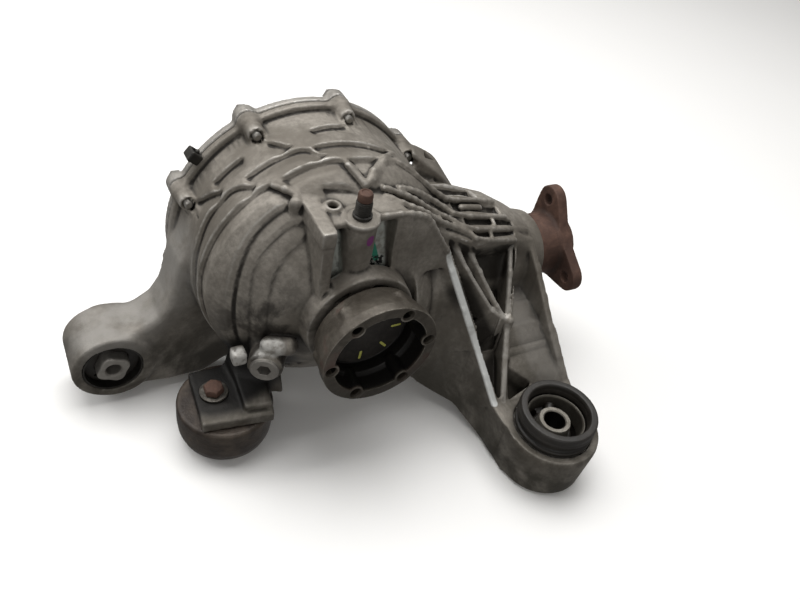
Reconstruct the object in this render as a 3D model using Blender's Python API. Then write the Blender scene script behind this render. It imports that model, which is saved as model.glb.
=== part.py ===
"""Rear differential gear assembly: cast housing, side cover, hypoid gear pair, bevel differential, bushes.

Everything is laid out in the axle frame, in metres: X forward along the drive pinion, Y to the left along
the axle shafts, Z up, with zero on the axle line in the plane of the pinion. One empty lifts that frame so
that the world origin is under the middle of the assembly, on the surface that it stands on.
"""

import math

import bmesh
import bpy
from mathutils import Matrix, Vector

# ---- Driving dimensions -------------------------------------------------------------------------
GAP = 0.0003  # left between solids that touch
RUNNING_GAP = 0.0005  # left round shafts that turn

SPLIT_Y = 0.086  # where the side cover meets the housing
MIDDLE_Y = 0.030  # half way between the two carrier bearings
GROUND_Z = -0.156  # the surface that the assembly stands on

DRUM_R = 0.126
DRUM_BORE_R = 0.117
RIM_R = 0.132
RIM_THICK = 0.008
HUB_R = 0.052  # neck round each output seal
HUB_END_Y = -0.078

LUG_COUNT = 9
LUG_FIRST_DEG = -4.5
LUG_CIRCLE_R = 0.129
LUG_R = 0.0115
LUG_LENGTH = 0.025
COVER_LUG_LENGTH = 0.012
BOLT_R = 0.004
BOLT_HEAD_R = 0.0072
BOLT_HEAD_LENGTH = 0.007
BOLT_TIP = 0.002
TRIM = 0.004  # what is machined off a joint face

OFFSET_Z = -0.022  # hypoid offset of the pinion below the axle
RING_TEETH = 41
PINION_TEETH = 11
PINION_CONE = math.tan(math.radians(15.0))
MESH_S = 0.085  # distance from the pinion's apex where the module is measured
TOOTH_INNER_S = 0.070
TOOTH_OUTER_S = 0.098
RING_BORE_R = 0.062
RING_BACK_Y = 0.042

SIDE_TEETH = 16
SPIDER_TEETH = 10
SIDE_PITCH_R = 0.028
SPIDER_PITCH_R = 0.0175
BEVEL_INNER = 0.65  # inner end of the bevel teeth as a share of the cone distance

BEARING_BORE_R = 0.043
CARRIER_JOURNAL_R = 0.0277
SEAL_BORE_R = 0.031
SEAL_WAY_R = 0.026  # the shaft's way through behind each output seal
STUB_R = 0.016
STUB_SEAL_R = 0.022

FLANGE_FACE_Y = -0.121
FLANGE_R = 0.055
FLANGE_BACK_R = 0.049
FLANGE_BACK_Y = -0.084
FLANGE_CUP_R = 0.0415
FLANGE_CUP_DEPTH = 0.030
FLANGE_BOLT_CIRCLE_R = 0.047
FLANGE_BOLT_R = 0.0046
FLANGE_BOLTS = 6

CARRIER_BEARING = (-0.0629, -0.0450)  # the right one's ends along the axle
HEAD_BEARING = (0.118, 0.137)
TAIL_BEARING = (0.191, 0.207)
HEAD_SEAT_R = 0.020
TAIL_SEAT_R = 0.017
HEAD_CUP_R = 0.040
TAIL_CUP_R = 0.034
NOSE_END_X = 0.240
INPUT_PLATE_X = 0.270
INPUT_PLATE_THICK = 0.013
INPUT_FRONT_X = 0.290
INPUT_ARM_DEGREES = (106.0, -14.0, -134.0)  # from the right (-Y) towards the top (+Z)
INPUT_HOLE_CIRCLE_R = 0.051
INPUT_LOBE_R = 0.0165
INPUT_HOLE_R = 0.0062

FRONT_BUSH = Vector((0.181, -0.184, 0.0))
FRONT_BOSS_TOP_Z = -0.098
FRONT_BOSS_R = 0.049
FRONT_BORE_R = 0.0405
BUSH_RING_TOP_Z = -0.074
FRONT_SLEEVE_R = 0.017
FRONT_SLEEVE_BORE_R = 0.011
FRONT_SLEEVE_TOP_Z = -0.090

REAR_BUSH = Vector((-0.202, 0.0, -0.108))
REAR_BOSS_Y = (0.030, 0.084)
REAR_BOSS_R = 0.038
REAR_BORE_R = 0.0285

DAMPER = Vector((-0.113, -0.041, 0.0))
DAMPER_BOLT = Vector((-0.124, -0.040, 0.0))
DAMPER_R = 0.046
DAMPER_TOP_Z = -0.106
PAD_TOP_Z = -0.094

BREATHER = Vector((-0.004, -0.056, 0.104))
BREATHER_BOSS_R = 0.0165
BREATHER_SHANK_R = 0.0045

PLUG_FACE = Vector((-0.084, -0.064, -0.047))
PLUG_AXIS = Vector((-0.5, -0.866, 0.0)).normalized()
PLUG_R = 0.0115
DRAIN_PLUG = Vector((0.020, 0.020, -0.134))

CLIP_DEG = 138.0

X_BACK = REAR_BUSH.x - REAR_BOSS_R
ORIGIN_SHIFT = Vector((-(X_BACK + INPUT_FRONT_X) / 2, 0.0, -GROUND_Z))

# colour, roughness, metallic
FINISHES = {
    "cast_aluminium": ((0.26, 0.25, 0.23), 0.62, 0.75),
    "aged_aluminium": ((0.30, 0.29, 0.27), 0.55, 0.80),
    "brown_iron": ((0.10, 0.065, 0.05), 0.75, 0.45),
    "dark_iron": ((0.09, 0.075, 0.065), 0.70, 0.55),
    "bright_steel": ((0.50, 0.49, 0.46), 0.35, 0.95),
    "gear_steel": ((0.34, 0.34, 0.35), 0.30, 0.95),
    "dark_steel": ((0.06, 0.06, 0.055), 0.45, 0.80),
    "rubber": ((0.018, 0.018, 0.017), 0.70, 0.0),
    "dust_cap": ((0.035, 0.034, 0.032), 0.60, 0.30),
    "gasket": ((0.05, 0.05, 0.05), 0.80, 0.0),
}

SEGMENTS = 20
FINE_SEGMENTS = 32
SMALL_SEGMENTS = 10
DRILL_SEGMENTS = 8


# ---- Scene and materials ------------------------------------------------------------------------
def clear_scene():
    for obj in list(bpy.data.objects):
        bpy.data.objects.remove(obj, do_unlink=True)


def make_material(name):
    colour, roughness, metallic = FINISHES[name]
    material = bpy.data.materials.new(name)
    material.use_nodes = True
    shader = material.node_tree.nodes["Principled BSDF"]
    shader.inputs["Base Color"].default_value = (*colour, 1.0)
    shader.inputs["Roughness"].default_value = roughness
    shader.inputs["Metallic"].default_value = metallic
    material.diffuse_color = (*colour, 1.0)
    return material


def add_empty(name, location, parent=None):
    empty = bpy.data.objects.new(name, None)
    bpy.context.scene.collection.objects.link(empty)
    empty.location = location
    empty.parent = parent
    return empty


def add_mesh(name, bm, finish, pivot, location=(0, 0, 0), rotation=None):
    """A named object under the given pivot empty, from a bmesh that it uses up."""
    bmesh.ops.recalc_face_normals(bm, faces=bm.faces)
    mesh = bpy.data.meshes.new(name)
    bm.to_mesh(mesh)
    bm.free()
    mesh.shade_smooth()
    mesh.set_sharp_from_angle(angle=math.radians(35))
    obj = bpy.data.objects.new(name, mesh)
    bpy.context.scene.collection.objects.link(obj)
    obj.parent = pivot
    obj.location = location
    if rotation is not None:
        obj.rotation_mode = "QUATERNION"
        obj.rotation_quaternion = rotation
    if finish:
        mesh.materials.append(MATERIALS[finish])
    return obj


# ---- Shape builders -----------------------------------------------------------------------------
def axis_point(axis, radius, angle, along):
    across = radius * math.cos(angle)
    up = radius * math.sin(angle)
    if axis == "X":
        return (along, across, up)
    if axis == "Y":
        return (across, along, up)
    return (across, up, along)


def turned(profile, axis="Y", segments=SEGMENTS):
    """A solid of revolution. A profile that starts and ends at radius 0 is a disc or a shaft; any other
    profile is a closed loop that makes a ring."""
    bm = bmesh.new()
    loops = []
    for radius, along in profile:
        if radius == 0:
            loops.append([bm.verts.new(axis_point(axis, 0, 0, along))] * segments)
        else:
            angles = [math.tau * i / segments for i in range(segments)]
            loops.append([bm.verts.new(axis_point(axis, radius, angle, along)) for angle in angles])
    pairs = list(zip(loops, loops[1:]))
    if profile[0][0] != 0:
        pairs.append((loops[-1], loops[0]))
    for first, second in pairs:
        for i in range(segments):
            j = (i + 1) % segments
            corners = [first[i], first[j], second[j], second[i]]
            unique = list(dict.fromkeys(corners))
            if len(unique) > 2:
                bm.faces.new(unique)
    return bm


def toothed(loops):
    """A ring solid from loops of equally many points, joined one to the next and the last to the first."""
    bm = bmesh.new()
    verts = [[bm.verts.new(point) for point in loop] for loop in loops]
    for k, first in enumerate(verts):
        second = verts[(k + 1) % len(verts)]
        for i in range(len(first)):
            j = (i + 1) % len(first)
            bm.faces.new((first[i], first[j], second[j], second[i]))
    return bm


def box(low, high):
    bm = bmesh.new()
    bmesh.ops.create_cube(bm, size=1.0)
    size = Vector(high) - Vector(low)
    bmesh.ops.scale(bm, vec=size, verts=bm.verts)
    bmesh.ops.translate(bm, vec=(Vector(high) + Vector(low)) / 2, verts=bm.verts)
    return bm


def hull(points):
    """The convex solid round some points."""
    bm = bmesh.new()
    for point in points:
        bm.verts.new(point)
    result = bmesh.ops.convex_hull(bm, input=bm.verts)
    inside = [item for item in result["geom_interior"] if isinstance(item, bmesh.types.BMVert)]
    bmesh.ops.delete(bm, geom=inside, context="VERTS")
    return bm


def ring_points(centre, radius, axis="Z", count=24):
    return [Vector(centre) + Vector(axis_point(axis, radius, math.tau * i / count, 0)) for i in range(count)]


def prism(outline, low, high, axis="X"):
    """A flat outline of (across, up) points, drawn out along an axis."""
    bm = bmesh.new()
    orders = {
        "X": lambda a, u, t: (t, a, u),
        "Y": lambda a, u, t: (a, t, u),
        "Z": lambda a, u, t: (a, u, t),
    }
    order = orders[axis]
    first = [bm.verts.new(order(a, u, low)) for a, u in outline]
    second = [bm.verts.new(order(a, u, high)) for a, u in outline]
    bm.faces.new(first)
    bm.faces.new(second)
    for i in range(len(outline)):
        j = (i + 1) % len(outline)
        bm.faces.new((first[i], first[j], second[j], second[i]))
    return bm


def mirrored(points):
    return [Vector((p[0], -p[1], p[2])) for p in points]


def combine(target, operation, bm, location=(0, 0, 0), rotation=None):
    """Joins a shape to an object, or cuts it away. All that is joined goes in one Boolean modifier, and all
    that is cut away goes in a second one after it."""
    modifier = target.modifiers.get(operation)
    if modifier is None:
        modifier = target.modifiers.new(operation, "BOOLEAN")
        modifier.operation = operation
        modifier.solver = "EXACT"
        modifier.operand_type = "COLLECTION"
        modifier.collection = bpy.data.collections.new(f"{target.name} {operation.lower()}")
        if operation == "UNION":
            target.modifiers.move(len(target.modifiers) - 1, 0)
    number = len(modifier.collection.objects)
    name = f"{target.name}_{operation.lower()}_{number}"
    helper = add_mesh(name, bm, None, target.parent, location, rotation)
    helper.hide_render = True
    helper.display_type = "WIRE"
    modifier.collection.objects.link(helper)


def join(target, bm, **placing):
    combine(target, "UNION", bm, **placing)


def cut(target, bm, **placing):
    combine(target, "DIFFERENCE", bm, **placing)


def mirror_y(profile):
    """The same turned part on the left: its stations reflected about the middle of the carrier."""
    return [(radius, 2 * MIDDLE_Y - along) for radius, along in profile]


# ---- Housing ------------------------------------------------------------------------------------
def drum_outer_profile():
    hub = [(0.0, HUB_END_Y), (HUB_R, HUB_END_Y), (HUB_R + 0.001, -0.062)]
    end_wall = [(0.062, -0.056), (0.076, -0.050)]
    shoulder = [(0.092, -0.040), (0.104, -0.032), (0.115, -0.021), (0.122, -0.010), (DRUM_R - 0.001, 0.004)]
    rough = SPLIT_Y + TRIM
    rim = [(DRUM_R, SPLIT_Y - RIM_THICK), (RIM_R, SPLIT_Y - RIM_THICK), (RIM_R, rough), (0.0, rough)]
    return hub + end_wall + shoulder + rim


def drum_cavity_profile():
    bore = [(0.0, -0.0632), (BEARING_BORE_R, -0.0632), (BEARING_BORE_R, -0.0440), (0.058, -0.0430)]
    wall = [(0.082, -0.034), (0.105, -0.019), (DRUM_BORE_R, 0.002)]
    mouth = [(DRUM_BORE_R, SPLIT_Y + 0.01), (0.0, SPLIT_Y + 0.01)]
    return bore + wall + mouth


def seal_bore_profile(end, inward):
    """The seal's seat and the shaft's way through, from outside the hub's end to past the bearing bore."""
    start = end - 0.01 * inward
    seat = end + 0.012 * inward
    deep = end + 0.020 * inward
    return [
        (0.0, start),
        (SEAL_BORE_R, start),
        (SEAL_BORE_R, seat),
        (SEAL_WAY_R, seat),
        (SEAL_WAY_R, deep),
        (0.0, deep),
    ]


def nose_outer_profile():
    root = [(0.0, 0.060), (0.084, 0.060), (0.092, 0.090)]
    taper = [(0.086, 0.135), (0.074, 0.180), (0.063, 0.215), (0.052, 0.232)]
    return root + taper + [(0.049, NOSE_END_X), (0.0, NOSE_END_X)]


def nose_bore_profile():
    head_start, head_end = 0.100, HEAD_BEARING[1] + GAP
    tail_start = TAIL_BEARING[0] - GAP
    return [
        (0.0, 0.060),
        (0.0320, 0.060),
        (0.0340, head_start),
        (HEAD_CUP_R, head_start),
        (HEAD_CUP_R, head_end),
        (0.031, head_end),
        (0.031, tail_start),
        (TAIL_CUP_R, tail_start),
        (TAIL_CUP_R, NOSE_END_X + 0.01),
        (0.0, NOSE_END_X + 0.01),
    ]


def nose_gallery_profile():
    """Oil space between the bearing tube and the nose's skin, open to the drum."""
    return [(0.048, 0.104), (0.083, 0.104), (0.075, 0.140), (0.065, 0.175), (0.060, 0.183), (0.048, 0.183)]


# The arm's sloping top at its four corners: rear and front, at the housing and at the boss.
ARM_TOP = [(0.084, -0.036, 0.074), (0.217, -0.046, 0.018), (0.226, -0.141, -0.100), (0.135, -0.141, -0.100)]
ARM_BOTTOM = [
    (0.086, -0.036, -0.108),
    (0.212, -0.036, -0.076),
    (0.220, -0.146, -0.150),
    (0.142, -0.146, -0.150),
]
ARM_HOLLOW = [
    (0.104, -0.070, -0.075),
    (0.205, -0.070, -0.062),
    (0.150, -0.126, -0.128),
    (0.208, -0.126, -0.128),
]
ARM_HOLLOW_MOUTH_Z = -0.170
# Left of the split, the left arm's root would close off a wedge of air against the drum: this fills it.
ARM_INFILL = ((0.088, 0.055, -0.092), (0.106, 0.081, -0.066))
ARM_ROOT = [(0.060, -0.010, 0.074), (0.200, -0.010, 0.018), (0.062, -0.010, -0.100), (0.196, -0.010, -0.070)]


def arm_top_point(along, across, sink):
    """A point of the arm's top surface. along runs 0 to 1 from housing to boss, across 0 to 1 from rear to
    front, and sink is how far below the surface it lies."""
    rear = Vector(ARM_TOP[0]).lerp(Vector(ARM_TOP[3]), along)
    front = Vector(ARM_TOP[1]).lerp(Vector(ARM_TOP[2]), along)
    point = rear.lerp(front, across)
    point.z -= sink
    return point


# Pockets between the arm's ribs, as (along, across) corners on its top surface.
ARM_POCKETS = [
    [(0.10, 0.09), (0.10, 0.15), (0.58, 0.36), (0.86, 0.17), (0.86, 0.08)],
    [(0.06, 0.33), (0.06, 0.60), (0.48, 0.62), (0.50, 0.52)],
    [(0.08, 0.70), (0.08, 0.92), (0.52, 0.92), (0.46, 0.70)],
    [(0.60, 0.45), (0.56, 0.92), (0.90, 0.92), (0.90, 0.28), (0.86, 0.26)],
]
POCKET_DEPTH = 0.030


def add_front_arm(housing, side):
    """side is 1 on the right (-Y) and -1 on the left."""
    flip = mirrored if side < 0 else (lambda points: [Vector(p) for p in points])
    join(housing, hull(flip(ARM_TOP + ARM_BOTTOM + ARM_ROOT)))
    centre = flip([FRONT_BUSH])[0]
    boss = [
        (0.0, GROUND_Z),
        (FRONT_BOSS_R - 0.006, GROUND_Z),
        (FRONT_BOSS_R - 0.003, GROUND_Z + 0.004),
        (FRONT_BOSS_R, FRONT_BOSS_TOP_Z - 0.006),
        (FRONT_BOSS_R - 0.001, FRONT_BOSS_TOP_Z),
        (0.0, FRONT_BOSS_TOP_Z),
    ]
    join(housing, turned(boss, "Z"), location=centre)
    for pocket in ARM_POCKETS:
        floor = [arm_top_point(a, c, POCKET_DEPTH) for a, c in pocket]
        mouth = [arm_top_point(a, c, -0.06) for a, c in pocket]
        cut(housing, hull(flip(floor + mouth)))
    below = [(x, y, ARM_HOLLOW_MOUTH_Z) for x, y, _ in ARM_HOLLOW]
    cut(housing, hull(flip(ARM_HOLLOW + below)))
    bore = [(0.0, GROUND_Z - 0.01), (FRONT_BORE_R, GROUND_Z - 0.01), (FRONT_BORE_R, -0.05), (0.0, -0.05)]
    cut(housing, turned(bore, "Z"), location=centre)


# Where the rear arm runs into the drum, in X and Z.
REAR_ARM_ROOT = [(-0.112, 0.000), (-0.060, -0.090), (-0.050, -0.118)]


def add_rear_arm(housing):
    near, far = REAR_BOSS_Y
    boss = []
    for y in (near, far):
        boss += ring_points((REAR_BUSH.x, y, REAR_BUSH.z), REAR_BOSS_R, "Y", 24)
    root = []
    for y in (near + 0.006, far - 0.002):
        root += [Vector((x, y, z)) for x, z in REAR_ARM_ROOT]
    join(housing, hull(boss + root))
    bore = [(0.0, near - 0.01), (REAR_BORE_R, near - 0.01), (REAR_BORE_R, far + 0.01), (0.0, far + 0.01)]
    cut(housing, turned(bore, "Y"), location=(REAR_BUSH.x, 0, REAR_BUSH.z))


DAMPER_PLATE = [(-0.152, -0.074), (-0.078, -0.082), (-0.070, -0.010), (-0.146, -0.008)]
# The web between the damper's plate and the drum: its foot, then its top.
DAMPER_GUSSET = [
    (-0.100, -0.030, -0.100),
    (-0.060, -0.060, -0.100),
    (-0.062, -0.010, -0.100),
    (-0.104, -0.006, -0.100),
    (-0.092, -0.020, -0.040),
    (-0.060, -0.030, -0.050),
    (-0.060, -0.002, -0.040),
    (-0.094, -0.002, -0.035),
]


def add_damper_lug(housing):
    points = [Vector((x, y, z)) for x, y in DAMPER_PLATE for z in (DAMPER_TOP_Z + GAP, PAD_TOP_Z)]
    join(housing, hull(points))
    join(housing, hull([Vector(p) for p in DAMPER_GUSSET]))
    hole = [(0.0, -0.12), (0.0065, -0.12), (0.0065, -0.08), (0.0, -0.08)]
    cut(housing, turned(hole, "Z", SMALL_SEGMENTS), location=DAMPER_BOLT)


def lug_angles():
    return [math.radians(LUG_FIRST_DEG + 360.0 / LUG_COUNT * i) for i in range(LUG_COUNT)]


def lug_centre(angle):
    return Vector((LUG_CIRCLE_R * math.cos(angle), 0, LUG_CIRCLE_R * math.sin(angle)))


def add_lugs(target, near, far):
    for angle in lug_angles():
        lug = [(0.0, near), (LUG_R, near), (LUG_R, far), (0.0, far)]
        join(target, turned(lug, "Y", SMALL_SEGMENTS), location=lug_centre(angle))


def drill_lugs(target, near, far):
    for angle in lug_angles():
        radius = (BOLT_R + GAP) / math.cos(math.pi / DRILL_SEGMENTS)
        hole = [(0.0, near), (radius, near), (radius, far), (0.0, far)]
        cut(target, turned(hole, "Y", DRILL_SEGMENTS), location=lug_centre(angle))


def face_off(target, near, far):
    """Machines a joint face flat: takes away everything between two stations on the axle."""
    cut(target, turned([(0.0, near), (0.2, near), (0.2, far), (0.0, far)], "Y", 12))


# The square columns on each side of the breather's boss: lowest and highest corners.
END_WALL_COLUMNS = [
    ((-0.043, -0.070, 0.030), (-0.032, -0.010, 0.106)),
    ((0.026, -0.068, 0.000), (0.040, -0.010, 0.100)),
]


def make_housing(root):
    housing = add_mesh("housing", turned(drum_outer_profile(), "Y", FINE_SEGMENTS), "cast_aluminium", root)
    join(housing, turned(nose_outer_profile(), "X"), location=(0, 0, OFFSET_Z))
    for side in (1, -1):
        add_front_arm(housing, side)
    join(housing, box(*ARM_INFILL))
    add_rear_arm(housing)
    add_damper_lug(housing)
    boss = [
        (0.0, 0.020),
        (0.012, 0.020),
        (BREATHER_BOSS_R, 0.070),
        (BREATHER_BOSS_R, BREATHER.z),
        (0.0, BREATHER.z),
    ]
    join(housing, turned(boss, "Z", 16), location=(BREATHER.x, BREATHER.y, 0))
    for low, high in END_WALL_COLUMNS:
        join(housing, box(low, high))
    plug_turn = Vector((0, 0, 1)).rotation_difference(PLUG_AXIS)
    plug_boss = [(0.0, -0.050), (0.020, -0.050), (0.017, 0.0), (0.0, 0.0)]
    join(housing, turned(plug_boss, "Z", 16), location=PLUG_FACE, rotation=plug_turn)
    drain_boss = [(0.0, 0.0), (0.017, 0.0), (0.017, 0.020), (0.0, 0.020)]
    join(housing, turned(drain_boss, "Z", 16), location=DRAIN_PLUG)
    add_lugs(housing, SPLIT_Y - LUG_LENGTH, SPLIT_Y + 1.5 * TRIM)
    face_off(housing, SPLIT_Y, SPLIT_Y + 0.05)
    cut(housing, turned(drum_cavity_profile(), "Y", FINE_SEGMENTS))
    cut(housing, turned(seal_bore_profile(HUB_END_Y, 1), "Y"))
    cut(housing, turned(nose_gallery_profile(), "X"), location=(0, 0, OFFSET_Z))
    cut(housing, turned(nose_bore_profile(), "X"), location=(0, 0, OFFSET_Z))
    drill_lugs(housing, SPLIT_Y - 0.05, SPLIT_Y + 0.02)
    plug_hole = [(0.0, -0.060), (PLUG_R + GAP, -0.060), (PLUG_R + GAP, 0.010), (0.0, 0.010)]
    cut(housing, turned(plug_hole, "Z", 12), location=PLUG_FACE, rotation=plug_turn)
    drain_hole = [(0.0, -0.010), (0.0095 + GAP, -0.010), (0.0095 + GAP, 0.030), (0.0, 0.030)]
    cut(housing, turned(drain_hole, "Z", 12), location=DRAIN_PLUG)
    vent = [(0.0, -0.016), (BREATHER_SHANK_R + GAP, -0.016), (BREATHER_SHANK_R + GAP, 0.010), (0.0, 0.010)]
    cut(housing, turned(vent, "Z", SMALL_SEGMENTS), location=BREATHER)
    return housing


# ---- Side cover, gasket and their bolts ---------------------------------------------------------
COVER_FACE_Y = SPLIT_Y + 0.0016
GASKET = (SPLIT_Y + GAP, COVER_FACE_Y - GAP)


def make_side_cover(root):
    hub_end = 2 * MIDDLE_Y - HUB_END_Y
    flat = COVER_FACE_Y + 0.008
    profile = [
        (0.0, COVER_FACE_Y - TRIM),
        (RIM_R, COVER_FACE_Y - TRIM),
        (RIM_R, flat),
        (0.123, flat),
        (0.116, 0.104),
        (0.098, 0.112),
        (0.074, 0.118),
        (0.058, 0.122),
        (HUB_R, 0.127),
        (HUB_R, hub_end),
        (0.0, hub_end),
    ]
    cover = add_mesh("side_cover", turned(profile, "Y", FINE_SEGMENTS), "aged_aluminium", root)
    add_lugs(cover, COVER_FACE_Y - 1.5 * TRIM, COVER_FACE_Y + COVER_LUG_LENGTH)
    face_off(cover, COVER_FACE_Y - 0.05, COVER_FACE_Y)
    inside = [
        (0.0, COVER_FACE_Y - 0.01),
        (DRUM_BORE_R, COVER_FACE_Y - 0.01),
        (DRUM_BORE_R - 0.001, 0.092),
        (0.108, 0.098),
        (0.090, 0.1035),
        (BEARING_BORE_R, 0.1035),
        (BEARING_BORE_R, 2 * MIDDLE_Y + 0.0632),
        (0.0, 2 * MIDDLE_Y + 0.0632),
    ]
    cut(cover, turned(inside, "Y", FINE_SEGMENTS))
    cut(cover, turned(seal_bore_profile(hub_end, -1), "Y"))
    drill_lugs(cover, COVER_FACE_Y - 0.02, COVER_FACE_Y + 0.03)
    return cover


def make_gasket(root):
    near, far = GASKET
    profile = [(DRUM_BORE_R + 0.0005, near), (0.1245, near), (0.1245, far), (DRUM_BORE_R + 0.0005, far)]
    return add_mesh("cover_gasket", turned(profile, "Y", FINE_SEGMENTS), "gasket", root)


def hexagon_loop(radius, along, count, axis="Y"):
    """A hexagon drawn with count points, count a multiple of 6, so that it can join a round loop."""
    points = []
    for i in range(count):
        angle = math.tau * i / count
        local = (angle + math.pi / 6) % (math.pi / 3) - math.pi / 6
        points.append(axis_point(axis, radius * math.cos(math.pi / 6) / math.cos(local), angle, along))
    return points


def round_loop(radius, along, count, axis="Y"):
    return [axis_point(axis, radius, math.tau * i / count, along) for i in range(count)]


def capped(loops):
    """A solid from a stack of equal loops with flat ends."""
    bm = bmesh.new()
    verts = [[bm.verts.new(point) for point in loop] for loop in loops]
    for first, second in zip(verts, verts[1:]):
        for i in range(len(first)):
            j = (i + 1) % len(first)
            bm.faces.new((first[i], first[j], second[j], second[i]))
    bm.faces.new(verts[0])
    bm.faces.new(verts[-1])
    return bm


def make_cover_bolts(root):
    head_start = COVER_FACE_Y + COVER_LUG_LENGTH + GAP
    tip = SPLIT_Y - LUG_LENGTH - BOLT_TIP
    count = 12
    for number, angle in enumerate(lug_angles(), 1):
        loops = [
            round_loop(BOLT_R, tip, count),
            round_loop(BOLT_R, head_start, count),
            round_loop(BOLT_HEAD_R + 0.0015, head_start, count),
            hexagon_loop(BOLT_HEAD_R, head_start + 0.0012, count),
            hexagon_loop(BOLT_HEAD_R, head_start + BOLT_HEAD_LENGTH, count),
        ]
        add_mesh(f"cover_bolt_{number}", capped(loops), "bright_steel", root, location=lug_centre(angle))


# ---- Small fittings on the housing --------------------------------------------------------------
def make_breather(root):
    top = BREATHER.z + GAP
    body = [
        (0.0, top - 0.014),
        (BREATHER_SHANK_R, top - 0.014),
        (BREATHER_SHANK_R, top),
        (0.0085, top),
        (0.0085, top + 0.003),
        (0.0070, top + 0.0035),
        (0.0070, top + 0.016),
        (0.0, top + 0.016),
    ]
    place = (BREATHER.x, BREATHER.y, 0)
    add_mesh("breather_body", turned(body, "Z", SMALL_SEGMENTS), "dark_steel", root, location=place)
    low = top + 0.016 + GAP
    cap = [(0.0, low), (0.0058, low), (0.0060, low + 0.006), (0.0045, low + 0.0085), (0.0, low + 0.0085)]
    add_mesh("breather_cap", turned(cap, "Z", SMALL_SEGMENTS), "brown_iron", root, location=place)


def socket_plug(radius, flange_r, length, socket_r, count=12):
    """A screw plug with a flange and a hexagon socket in its face, its axis along Z and its face at 0."""
    loops = [
        hexagon_loop(socket_r, -0.007, count, "Z"),
        hexagon_loop(socket_r, 0.0042, count, "Z"),
        round_loop(flange_r - 0.001, 0.0042, count, "Z"),
        round_loop(flange_r, 0.0032, count, "Z"),
        round_loop(flange_r, GAP, count, "Z"),
        round_loop(radius, GAP, count, "Z"),
        round_loop(radius, -length, count, "Z"),
    ]
    return capped(loops)


def make_plugs(root):
    turn = Vector((0, 0, 1)).rotation_difference(PLUG_AXIS)
    add_mesh("fill_plug", socket_plug(PLUG_R, 0.0135, 0.014, 0.0065), "aged_aluminium", root, PLUG_FACE, turn)
    down = Vector((0, 0, 1)).rotation_difference(Vector((0, 0, -1)))
    add_mesh("drain_plug", socket_plug(0.0095, 0.0125, 0.012, 0.0055), "dark_steel", root, DRAIN_PLUG, down)


def make_hose_clip(root):
    """A dark spring clip pushed over the rim beside a lug."""
    angle = math.radians(CLIP_DEG)
    turn = Matrix.Rotation(-angle, 4, "Y").to_quaternion()
    clip = box((RIM_R + GAP, 0.074, -0.0075), (RIM_R + 0.015, 0.093, 0.0075))
    add_mesh("hose_clip", clip, "dark_steel", root, rotation=turn)


def make_damper(root):
    weight = [
        (0.0070, GROUND_Z),
        (DAMPER_R - 0.004, GROUND_Z),
        (DAMPER_R, GROUND_Z + 0.004),
        (DAMPER_R, DAMPER_TOP_Z - 0.002),
        (DAMPER_R - 0.002, DAMPER_TOP_Z),
        (0.0070, DAMPER_TOP_Z),
    ]
    bm = turned(weight, "Z")
    for vert in bm.verts:
        if math.hypot(vert.co.x, vert.co.y) < 0.008:
            vert.co += Vector((DAMPER_BOLT.x - DAMPER.x, DAMPER_BOLT.y - DAMPER.y, 0))
    add_mesh("damper_weight", bm, "dark_iron", root, location=DAMPER)
    inner, outer = 0.0065, 0.0135
    low, high = PAD_TOP_Z + GAP, PAD_TOP_Z + 0.0028
    washer = [(inner, low), (outer, low), (outer, high), (inner, high)]
    add_mesh("damper_washer", turned(washer, "Z", 12), "bright_steel", root, location=DAMPER_BOLT)
    seat = high + GAP
    count = 12
    loops = [
        round_loop(0.0058, GROUND_Z + 0.008, count, "Z"),
        round_loop(0.0058, seat, count, "Z"),
        hexagon_loop(0.0098, seat, count, "Z"),
        hexagon_loop(0.0098, seat + 0.0065, count, "Z"),
        round_loop(0.0080, seat + 0.0078, count, "Z"),
    ]
    add_mesh("damper_bolt", capped(loops), "brown_iron", root, location=DAMPER_BOLT)


# ---- Mounting bushes ----------------------------------------------------------------------------
BUSH_SHELL_THICK = 0.0018


def make_front_bush(root, name, centre):
    shell_top = FRONT_BOSS_TOP_Z - 0.001
    shell_r = FRONT_BORE_R - GAP
    bottom = GROUND_Z + 0.004
    lining_r = shell_r - BUSH_SHELL_THICK
    shell = [(lining_r, bottom), (shell_r, bottom), (shell_r, shell_top), (lining_r, shell_top)]
    add_mesh(f"{name}_shell", turned(shell, "Z"), "bright_steel", root, location=centre)
    inner = FRONT_SLEEVE_R + GAP
    outer = lining_r - GAP
    rubber = [
        (inner, bottom),
        (outer, bottom),
        (outer, shell_top + 0.002),
        (0.0370, shell_top + 0.004),
        (0.0370, BUSH_RING_TOP_Z - 0.008),
        (0.0400, BUSH_RING_TOP_Z - 0.006),
        (0.0395, BUSH_RING_TOP_Z),
        (0.0315, BUSH_RING_TOP_Z),
        (0.0310, FRONT_BOSS_TOP_Z + 0.006),
        (inner, FRONT_BOSS_TOP_Z - 0.002),
    ]
    add_mesh(f"{name}_rubber", turned(rubber, "Z"), "rubber", root, location=centre)
    low, high = GROUND_Z + 0.002, FRONT_SLEEVE_TOP_Z
    sleeve = [
        (FRONT_SLEEVE_BORE_R, low),
        (FRONT_SLEEVE_R, low),
        (FRONT_SLEEVE_R, high),
        (FRONT_SLEEVE_BORE_R, high),
    ]
    add_mesh(f"{name}_sleeve", turned(sleeve, "Z"), "bright_steel", root, location=centre)


def lobed_loop(along, count, mean, swing):
    """The rear bush's four-lobed core."""
    points = []
    for i in range(count):
        angle = math.tau * i / count
        radius = mean + swing * math.cos(4 * (angle - math.radians(20)))
        points.append(axis_point("Y", radius, angle, along))
    return points


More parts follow.
